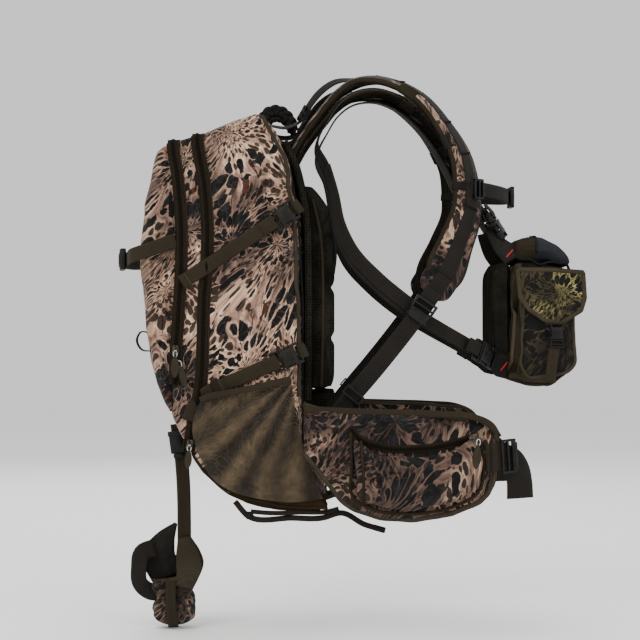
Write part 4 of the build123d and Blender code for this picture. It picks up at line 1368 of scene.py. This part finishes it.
def make_harness_buckles():
    make_locks()
    for kind, body, *node in (("socket", "sternum_strap"), ("plug", "sternum_plug", "sternum_plug")):
        part = buckle(kind, "black_plastic", (257.8, 2, 355), NEAR, (1, 0, 0))
        part.name = f"sternum_{kind}_part"
        put(part, body, *node)
    for which, (place, pull, face) in CHEST_BUCKLES.items():
        way = Vector(pull).normalized()
        outward = square_to(Vector(face), way)
        at = Vector(place) + outward * BUCKLE_LIFT
        plug_body = f"{which}_chest_plug_{{}}"
        socket = buckle("socket", "black_plastic", at, way, outward)
        right, _ = sides(socket, f"{which}_chest_socket_{{}}", "pack", slot="black_plastic")
        if which == "upper":
            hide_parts("chest_sockets")
        plug = buckle("plug", "black_plastic", at, way, outward)
        sides(plug, f"{plug_body}_part", plug_body, plug_body, slot="black_plastic")
        sides(turned_web("black", at, way, outward), f"{which}_chest_plug_web_{{}}", plug_body)


HANDLE_LEG = [(-104, 466), (-97, 474), (-86, 477.5), (-75, 474), (-66, 464), (-62, 456)]
HANDLE_GRIP = [(-62, -46, 457), (-64, -20, 460), (-64, 0, 461), (-64, 20, 460), (-62, 46, 457)]
HANG_LOOP = [(-90, -30, 448), (-86, -31, 438), (-76, -32, 430), (-62, -33, 431), (-53, -34, 441),
             (-50, -36, 452)]


def braid(name, points, normals, wide, radius, turns, material):
    """Three cords plaited flat along a run."""
    curve, t = smooth_run(points, 2.0)
    normal = along_run([normals] * len(points), points, t)
    across = unit(np.cross(np.gradient(curve, axis=0), normal))
    strands = []
    for strand in range(3):
        turn = 2 * math.pi * (t * turns + strand / 3)
        places = curve + across * (wide * np.sin(turn))[:, None]
        places = places + normal * (0.45 * wide * np.sin(2 * turn))[:, None]
        strands.append(tube(f"{name}_{strand}", places, radius, material, 0.85, 2.0, list(normal)))
    return join(name, strands)


def make_grab_handle():
    """A thick plaited handle: two legs from the top seam and the grip between them, with a loop below."""
    legs = []
    for y in (-38, 38):
        leg = [(x, y, z) for x, z in HANDLE_LEG]
        legs.append(braid("leg", leg, NEAR, 4.6, 4.4, 1.9, "black_cloth"))
    grip = braid("bar", HANDLE_GRIP, (1, 0, 0), 4.2, 4.2, 5.0, "black_cloth")
    handle = join("grab_grip", [grip] + legs)
    put(handle, "grab_handle", "grab_handle")
    sides(tube("hang_loop", HANG_LOOP, 4.2, "black_cloth", 0.5), "hang_loop_{}", "pack")


# ---------------------------------------------------------------- hip belt
def make_belt():
    # the belt's cloth has a darker ground: part print, part painted shade for the shade under the bag
    wing = stuffed("belt_wing_soft_right", "belt_wing_right", "camo_belt", PAD_VOXEL, 3.0, 4.0,
                   body="belt_wing_right")
    pocket = stuffed("belt_pocket_soft_right", "belt_pocket_right", "camo_belt", PAD_VOXEL, 2.0, 7.0,
                     body="belt_wing_right", pressure=6.0)
    return wing, pocket


WING_EDGE = [(-50, 60), (22, 54), (90, 52), (156, 50), (203, 44), (228, 24), (234, 0), (222, -56), (198, -82),
             (157, -97), (108, -104), (60, -101), (22, -89), (5, -77), (-20, -48), (-48, -12)]
TOP_BAND = [(-44, 53), (22, 50), (90, 48), (150, 46), (190, 42), (212, 32), (225, 14)]
ZIP_LINE = [(20, 26), (30, 14), (60, 2), (110, -1), (157, 5), (196, 16)]
PIPING = [(20, 22), (22, -20), (24, -68), (46, -82), (100, -90), (158, -82), (196, -61), (204, -20),
          (198, 12)]
POCKET_SEAM = [(34, 10), (37, -30), (38, -76)]


def finish_belt(wing, pocket):
    wrinkle(wing, 1.5, 20, (0.8, 1, 0.8), 5.0)
    wrinkle(pocket, 2.6, 24, (0.7, 1, 0.9), 6.0)
    crease(pocket, POCKET_SEAM[0], POCKET_SEAM[-1], 2.5, 4.0)
    tree = surface_of(wing, pocket)
    wing_only = surface_of(wing)
    soften(wing, pocket)
    on_pocket = laid_on(tree, 0.4)

    def at(y, line):
        return [(x, y, z) for x, z in line]

    extras = [
        tube("belt_edge", at(-168, WING_EDGE), BINDING + 0.6, "olive_cloth", drop=snapped(wing_only, 0.8)),
        sweep("belt_top_band", at(-170, TOP_BAND), NEAR, 9.0, flat_profile(2.6), "olive_8",
              drop=laid_on(wing_only, 0.8)),
        sweep("belt_zip_line", at(-186, ZIP_LINE), NEAR, 11.0, zip_profile(11.0), "zip", 3.0,
              laid_on(tree, 1.0)),
        tube("belt_piping", at(-186, PIPING), 2.2, "dark_olive_cloth", drop=on_pocket),
        tube("belt_pocket_seam", at(-186, POCKET_SEAM), 2.0, "dark_olive_cloth", drop=on_pocket),
    ]
    for piece in extras:
        sides(piece, f"{piece.name}_{{}}", "belt_wing_{}")
    for piece, kind in ((wing, "wing"), (pocket, "pocket")):
        other = mirrored(piece, f"belt_{kind}_soft_left")
        put(other, "belt_wing_left", f"belt_{kind}_left")


BELT_POINTS = [(212, -163.5, -14), (230, -155, -14), (244, -148.5, -20), (252, -144.5, -33), (255, -142, -50),
               (256, -140, -72)]
BELT_NORMALS = [(0.3, -0.95, 0), (0.45, -0.9, 0), (0.45, -0.9, 0), (0.4, -0.92, 0), (0.3, -0.95, 0),
                (0.2, -1, 0)]
BELT_STUB = [(206, -164.5, -14), (222, -160, -13), (238, -153.5, -12)]


def make_belt_fittings():
    strap = web("belt_web", BELT_POINTS, BELT_NORMALS, BELT_WEB, "black", thick=2.2)
    sides(strap, "belt_web_{}", "belt_wing_{}", "belt_webbing_{}", slot="black_webbing")
    sides(web("belt_stub", BELT_STUB, (0.3, -0.95, 0), BELT_WEB, "olive"), "belt_stub_{}", "belt_wing_{}")
    lock = rounded_boxes("belt_lock_part", ladder_boxes(BELT_WEB, 25), "black_plastic", 1.0)
    seat(lock, (228, -163.8, -13), (26, 12.5, 2), (0.43, -0.9, 0))
    sides(lock, "belt_lock_{}_part", "belt_wing_{}", "belt_lock_{}", slot="black_plastic")
    for side in ("right", "left"):
        paint_node(NODES[f"belt_zip_slider_{side}"], "dark_metal")
    pull = leaf_puller("belt_puller", 34, 13)
    seat(pull, (195, -183.5, 13), (0.1, -0.05, 1), (0.1, -1, 0))
    sides(pull, "belt_puller_{}", "belt_zip_slider_{}")


def paint_node(node, material):
    """Gives a CAD node its finish through its material slots."""
    if not node.data.materials:
        node.data.materials.append(PAINTS[material])
    for slot in node.material_slots:
        slot.material = PAINTS[material]


LEAF_ROWS, LEAF_SIDES = 18, 14
LEAF_THICK = 1.6
LEAF_START = 8  # from the puller's own origin to the leaf


def leaf_puller(name, long, wide):
    """Zip puller: a bright link and a moulded leaf, hanging down its own -x."""
    turn = np.linspace(0, 2 * math.pi, 17)
    link = [(-1.5 + 4.5 * math.cos(a) - 3.5, 2.6 * math.sin(a), 0.0) for a in turn]
    ring = tube(f"{name}_ring", link, 0.7, "bright_metal", step=1.0, normals=(0, 0, 1))
    around = [2 * math.pi * k / LEAF_SIDES for k in range(LEAF_SIDES)]
    shape = bmesh.new()
    rows = []
    for i in range(LEAF_ROWS + 1):
        t = i / LEAF_ROWS
        half = wide / 2 * (math.sin(math.pi * (0.08 + 0.92 * t)) ** 0.7) * (0.75 + 0.35 * t)
        ridged = 1 + 0.22 * math.sin(t * 40) * (0.25 < t < 0.8)
        thick = LEAF_THICK * (math.sin(math.pi * (0.1 + 0.85 * t)) ** 0.5) * ridged
        places = [Vector((-LEAF_START - long * t, half * math.cos(a), thick * math.sin(a))) for a in around]
        rows.append([shape.verts.new(place * MM) for place in places])
    skin_rings(shape, rows)
    shape.faces.new(rows[0][::-1])
    shape.faces.new(rows[-1])
    return join(name, [add_object(name, closed_mesh(name, shape), "olive_cloth"), ring])


def make_pullers():
    for name in ("main_zip_slider", "front_zip_slider"):
        paint_node(NODES[name], "dark_metal")
    main = seat(leaf_puller("main_puller", 26, 11), (-201.8, -162.1, 4), (0.08, 0, 1))
    put(main, "main_zip_puller", "main_zip_puller")
    front = seat(leaf_puller("front_puller", 31, 13), (-221.7, -158.1, 134), (0.02, 0, 1))
    put(front, "front_zip_puller", "front_zip_puller")
    second = leaf_puller("front_second_puller", 31, 11)
    put(seat(second, (-217, -157.2, 120), (-0.25, 0, 1), (0.15, -1, 0)), "front_zip_puller")


# ---------------------------------------------------------------- chest pouch
FLAP = [(254, 246), (300, 245.5), (345, 242), (347, 206), (342, 189), (312, 170), (291, 176), (269, 191),
        (257, 208)]
FLAP_FACE = -127.5
FLAP_TOP = 246
FLAP_DROP = 78
FLAP_BOW = 3.2
FLAP_TAIL = [(307, -131, 146), (303, -133, 126), (300.5, -132, 106), (299, -130.5, 88)]
CATCH_SCALE = (0.8, 0.52, 0.7)  # the flap's small buckle, against the bag's own
POUCH_BASE = 112.0  # below this the pouch is plain cloth
LID_SEAM = 284  # where the lid's two cloths meet
GUSSET_LEVELS = (240, 200, 160, 124, 102)
GUSSET_SLOPE = 0.07
POUCH_SEAMS = {  # run, radius and cloth
    "end_rim": ([(256, -122, 240), (257, -122, 180), (258, -122, 112), (268, -122, 96), (325, -122, 102),
                 (335, -122, 114), (333, -122, 180), (332, -122, 240)], 2.4, "brown_binding"),
    "pouch_rim_front": ([(331, -94, 246), (334, -94, 190), (337, -94, 112), (300, -94, 84), (244, -94, 90)],
                        2.0, "dark_olive_cloth"),
    "lid_zip_edge": ([(250, -96, 262), (280, -97, 259), (333, -96, 251)], 2.0, "black_cloth"),
    "lid_fold": ([(284, -20, 330), (284, -60, 322), (284, -88, 300), (284, -97, 270)], 1.8, "black_cloth"),
}
POUCH_TABS = {  # run, widths and face
    "upper": ([(222, -66, 304), (229, -76, 290), (240, -88, 276), (252, -95, 262)], [18, 22, 32, 34],
              (0.3, -1, 0.4)),
    "lower": ([(214, -102, 119), (222, -99, 116), (232, -96, 112), (244, -94, 108)], [18, 26, 34, 32],
              (0.1, -1, 0)),
}


def make_pouch():
    body = stuffed("pouch_soft", "chest_pouch", "camo_dark", PAD_VOXEL, 1.0, 5.0)
    lid = stuffed("pouch_lid_soft", "chest_pouch_lid", "slate_cloth", PAD_VOXEL, 0.8, 5.0)
    back = stuffed("pouch_back_soft", "chest_back_panel", "black_mesh", PAD_VOXEL, 3.0, 4.0)
    ends = stuffed("pouch_ends_soft", "chest_side_pockets", "camo_dark", PAD_VOXEL, 0.8, 3.0)
    return body, lid, back, ends


def flap_bow(z):
    """How far the flap stands off the pouch at a height."""
    return FLAP_BOW * math.sin(math.pi * min(1, (FLAP_TOP - z) / FLAP_DROP))


def flap_sheet():
    """The side pocket's pointed flap: a lined cloth sheet, bowed a little, with a bound edge."""
    outline = np.array(FLAP, float)
    dense = []
    for a, b in zip(outline, np.roll(outline, -1, axis=0), strict=True):
        count = max(2, int(np.linalg.norm(b - a) / 3))
        dense.extend(a + (b - a) * k / count for k in range(count))
    dense = np.array(dense)
    middle = dense.mean(axis=0)
    shape = bmesh.new()
    rings = []
    for level in np.linspace(1, 0.06, 14):
        ring = []
        for x, z in middle + (dense - middle) * level:
            bow = flap_bow(z) + 1.4 * noise.noise(Vector((x, z, 0)) * 0.05)
            ring.append(shape.verts.new(Vector((x, FLAP_FACE - bow, z)) * MM))
        rings.append(ring)
    skin_rings(shape, rings)
    shape.faces.new(rings[-1])
    flap = add_object("flap", closed_mesh("flap", shape), "camo_green")
    apply_modifier(flap, "SOLIDIFY", thickness=2.4 * MM, offset=0.0)
    edge = [(x, FLAP_FACE - 0.6 - flap_bow(z), z) for x, z in dense]
    binding = tube("flap_binding", edge + edge[:1], 3.3, "brown_binding", 0.7, 3.0)
    return flap, binding


def make_gussets(tree):
    """The plain strip down each end of the pouch, between its two bound edges."""

    def run(x):
        return [(x + GUSSET_SLOPE * (z - GUSSET_LEVELS[-1]), -130, z) for z in GUSSET_LEVELS]

    infill = sweep("infill", run(251), NEAR, 16.0, flat_profile(1.2), "dark_olive_cloth",
                   drop=laid_on(tree, 0.2))
    sides(infill, "pouch_infill_{}", "pack")
    for number, x in enumerate((244, 257)):
        gusset = tube("gusset", run(x), 2.4, "brown_binding", drop=laid_on(tree, 0.4))
        sides(gusset, f"pouch_gusset_{number}_{{}}", "pack")


def make_flaps():
    flap, binding = flap_sheet()
    for piece in sides(flap, "flap_{}", "chest_flap_{}", "chest_flap_{}", slot="green_camo"):
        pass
    sides(binding, "flap_binding_{}", "chest_flap_{}")
    boxes = [[[c * f for c, f in zip(corner, CATCH_SCALE, strict=True)] for corner in box]
             for box in socket_boxes(WEB) + plug_boxes(WEB)]
    catch = seat(rounded_boxes("flap_catch", boxes, "black_plastic", 0.5), (308, -133.4, 149), (0, 0, -1))
    tail = web("flap_tail", FLAP_TAIL, NEAR, NARROW_WEB, "olive")
    sides(catch, "flap_catch_{}", "chest_flap_{}", "flap_buckle_{}", slot="black_plastic")
    sides(tail, "flap_tail_{}", "chest_flap_{}")


def finish_pouch(body, lid, back, ends):
    wrinkle(body, 2.4, 26, seed=7.0)
    wrinkle(lid, 2.6, 28, seed=8.0)
    wrinkle(ends, 2.2, 30, seed=9.0)
    soften(body, lid, back, ends)
    panel(body, "brown_binding", lambda p: p.z < POUCH_BASE or p.x < 262)
    panel(lid, "dark_olive_cloth", lambda p: p.x < LID_SEAM)
    make_gussets(surface_of(body, ends))
    make_flaps()
    whole = surface_of(body, ends, lid)
    for name, (line, radius, material) in POUCH_SEAMS.items():
        sides(tube(name, line, radius, material, drop=snapped(whole, 0.4)), f"{name}_{{}}", "pack")
    for name, (line, widths, face) in POUCH_TABS.items():
        strap = sweep(name, line, face, widths, flat_profile(2.4), "black_cloth")
        sides(strap, f"pouch_{name}_tab_{{}}", "pack")
        tack = bartack("red_tack", 2, 16, 0.8, 2.2, "red_thread", 0.4)
        middle = (Vector(line[-1]) + Vector(line[-2])) / 2
        sides(seat(tack, middle, (1, -0.2, -0.8), face), f"pouch_{name}_tack_{{}}", "pack")


# ---------------------------------------------------------------- bow carrier and lash
BOW_POINTS = [(-222, -147, 286), (-262, -149, 272), (-282, -139, 266), (-293, -102, 262), (-303, -30, 260)]
BOW_NORMALS = [(0, -1, 0), (-0.3, -1, 0), (-0.8, -0.7, 0), (-1, -0.2, 0), (-1, -0.1, 0)]
RISER_LOOP = [(-260, -112, 157), (-273, -112, 159), (-279, -112, 147), (-272, -112, 134), (-256, -112, 132)]
RISER_NORMALS = [(0, 0, 1), (-0.5, 0, 1), (-1, 0, 0), (-0.5, 0, -1), (0, 0, -1)]
LASH_POINTS = [(-140, -144, -76), (-122, -144, -96), (-60, -144, -99), (-19, -144, -99), (8, -144, -92),
               (40, -144, -108), (68, -144, -116)]
LASH_DOUBLE = [(-118, -145, -90), (-90, -146, -92), (-50, -146, -91), (-12, -146, -90), (4, -145, -86)]


def make_bow_carrier():
    points, normals = over_the_middle(BOW_POINTS), over_the_middle(BOW_NORMALS)
    strap = web("bow_strap_web", points, normals, LIGHT_WEB, "olive")
    put(strap, "pack", "bow_straps")
    loop = sweep("riser_loop", RISER_LOOP, RISER_NORMALS, WEB, flat_profile(), "olive_25", 2.0)
    sides(loop, "riser_loop_{}", "pack")
    pull = Vector((-10, 72, -2)).normalized()
    out = square_to(Vector((-1, -0.14, 0)), pull)
    mouth = Vector((-297.4, -70, 261.2)) + out * 6.2
    put(buckle("socket", "olive_plastic", mouth, pull, out), "pack").name = "bow_socket_part"
    plug = buckle("plug", "olive_plastic", mouth, pull, out)
    put(plug, "bow_strap_plug", "bow_strap_plug").name = "bow_plug_part"
    put(turned_web("olive", mouth, pull, out), "bow_strap_plug").name = "bow_plug_web"


def make_lash():
    facing = (0, -1, 0.35)
    line = sweep("lash", LASH_POINTS, facing, CORD_WEB, flat_profile(2.6), "black_8", 3.0)
    sides(line, "lash_{}", "pack")
    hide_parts("bottom_lash")
    double = sweep("lash_double", LASH_DOUBLE, facing, 6.5, flat_profile(2.2), "black_8", 3.0)
    sides(double, "lash_double_{}", "pack")
    lumps = [((-125, -148, -101), (-116, -140, -90)), ((-128, -147, -98), (-114, -141, -93))]
    sides(rounded_boxes("lash_knot", lumps, "black_cloth", 3.0, 3), "lash_knot_{}", "pack")
    tip = bartack("lash_tip", 18, 8.4, -1.8, 1.8, "black_cloth", 1.4)
    sides(seat(tip, (60, -144, -114), (28, 0, -8), (0, -1, 0.2)), "lash_tip_{}", "pack")


BOOT_STRAP = [(-231, 0, 24), (-226, 0, -12), (-222, 0, -60), (-220.5, 0, -120), (-220.5, 0, -162)]
BOOT_BUCKLE = [((-13, -10, -3), (13, 10, 3)), ((-9, -7.5, 2.5), (9, 7.5, 4.4)),
               ((13, -7, -2.4), (20, 7, 2.4)), ((-20, -11, -3), (-12, 11, 3))]
BOOT_WING = [(-221, 3, -142), (-216, 12, -162), (-212, 22, -182), (-219, 27, -212)]
WING_WIDTHS = [18, 32, 38, 26]
BOOT_BAND = [(-238, 27, -199), (-238, 32, -228), (-236, 28, -258), (-235, 14, -271)]
# the run of a black cloth sheet of painted shadow, above the cup and behind the boot loop
BOOT_SHADOW_SHEET = [(-233, 4, -122), (-249, 4, -146), (-257, 4, -168), (-246, 4, -202)]
BOOT_LOOP = [(-264, -8, -156), (-281, -11, -163), (-286, -12, -186), (-284, -10, -208), (-270, -8, -220),
             (-252, -10, -221)]
BOOT_LOOP_NORMALS = [(0, -1, 0.2), (-0.2, -1, 0.1), (-0.4, -1, 0), (-0.3, -1, 0), (-0.1, -1, 0), (0, -1, 0)]
CUP_TOP = -200.0
CUP_DEEP = 70.0
CUP_MIDDLE = -235
CUP_LONG, CUP_WIDE = 30, 26  # half its length and half its width
CUP_TILT = 5
CUP_ROWS, CUP_COLUMNS = 46, 72


def cup_point(a, v):
    """A place on the cup: a is the angle round it, and v runs from 0 at the rim to 1 at the bottom."""
    squared = (abs(math.cos(a)) ** 4 + abs(math.sin(a)) ** 4) ** -0.25
    close = math.sqrt(max(0.0, 1 - max(0.0, (v - 0.72) / 0.28) ** 2.2))
    pinch = 1 - 0.14 * math.exp(-(((v - 0.36) / 0.13) ** 2))
    fold = 1 + 0.10 * noise.noise(Vector((math.cos(a) * 1.6, math.sin(a) * 1.6, v * 4.5)))
    crumple = 3.0 * noise.noise(Vector((math.cos(a) * 3, math.sin(a) * 3, v * 9 + 4)))
    r = squared * close * pinch * fold
    x = CUP_MIDDLE + (CUP_LONG * r + crumple * close) * math.cos(a)
    y = (CUP_WIDE * r + crumple * close) * math.sin(a)
    return Vector((x, y, CUP_TOP - CUP_DEEP * v + CUP_TILT * math.cos(a) * (1 - v)))


def boot_cup():
    """The crumpled cloth cup: squared, pinched a third of the way down and closed below."""
    shape = bmesh.new()
    grid = []
    for j in range(CUP_ROWS + 1):
        around = [2 * math.pi * i / CUP_COLUMNS for i in range(CUP_COLUMNS)]
        grid.append([shape.verts.new(cup_point(a, j / CUP_ROWS) * MM) for a in around])
    skin_rings(shape, grid)
    shape.faces.new(grid[-1])
    cup = add_object("boot_cup", closed_mesh("boot_cup", shape), "camo_boot")
    apply_modifier(cup, "SOLIDIFY", thickness=2.6 * MM, offset=-1.0)
    soften(cup)
    return cup


def make_boot():
    """The hanging strap, its buckle, the cloth cup for the bow's lower end, the cup's straps, and a black
    sheet of painted shadow above the cup.
    """
    put(web("boot_web", BOOT_STRAP, NEAR, LIGHT_WEB, "olive"), "bow_boot")
    part = rounded_boxes("boot_buckle_part", BOOT_BUCKLE, "black_plastic", 1.8)
    put(seat(part, (-231, -5.4, -6), (0.14, 0, -1)), "bow_boot", "boot_buckle")
    cup = boot_cup()
    put(cup, "bow_boot", "bow_boot")
    rim = [(CUP_MIDDLE + CUP_LONG * math.cos(a), CUP_WIDE * math.sin(a), CUP_TOP + CUP_TILT * math.cos(a))
           for a in np.linspace(0, 2 * math.pi, 25)]
    put(tube("boot_rim", rim, 3.2, "olive_cloth", normals=(0, 0, 1)), "bow_boot")
    for number, side in enumerate((-1, 1)):
        wing = [(x, side * y, z) for x, y, z in BOOT_WING]
        cloth = sweep(f"boot_wing_{number}", wing, (0, side, 0.2), WING_WIDTHS, pad_profile(5), "olive_cloth")
        put(cloth, "bow_boot")
        band = [(x, side * y, z) for x, y, z in BOOT_BAND]
        put(web(f"boot_band_{number}", band, (0, side, 0), NARROW_WEB, "olive"), "bow_boot")
    # painted shadow: a flat black cloth sheet above the cup and behind the boot loop, where the boot lies in
    # shade
    shade = sweep("boot_shade", BOOT_SHADOW_SHEET, (0, -1, 0.1), [5, 32, 52, 44], pad_profile(7), "black_cloth")
    put(shade, "bow_boot")
    put(web("boot_loop", BOOT_LOOP, BOOT_LOOP_NORMALS, WEB, "black"), "bow_boot")


# ---------------------------------------------------------------- make everything
def main():
    main_bag, middle_bag, outer_pocket = make_bag()
    pads, lumbar = make_back()
    wing, pocket = make_belt()
    pouch = make_pouch()
    blow_out()
    finish_bag(main_bag, middle_bag, outer_pocket)
    tree = surface_of(main_bag, middle_bag, outer_pocket)
    make_zips(tree)
    make_back_edges(tree)
    make_mesh_pockets()
    finish_back(pads, lumbar)
    finish_belt(wing, pocket)
    make_belt_fittings()
    finish_pouch(*pouch)
    make_pads()
    make_pad_trim()
    make_webbing()
    make_bag_buckles(tree)
    make_harness_buckles()
    make_grab_handle()
    make_pullers()
    make_bow_carrier()
    make_lash()
    make_boot()
    paint_node(NODES["frame_sheet"], "black_plastic")
    paint_node(NODES["frame_stays"], "alloy")


PAINTS = make_materials()
studio()
main()
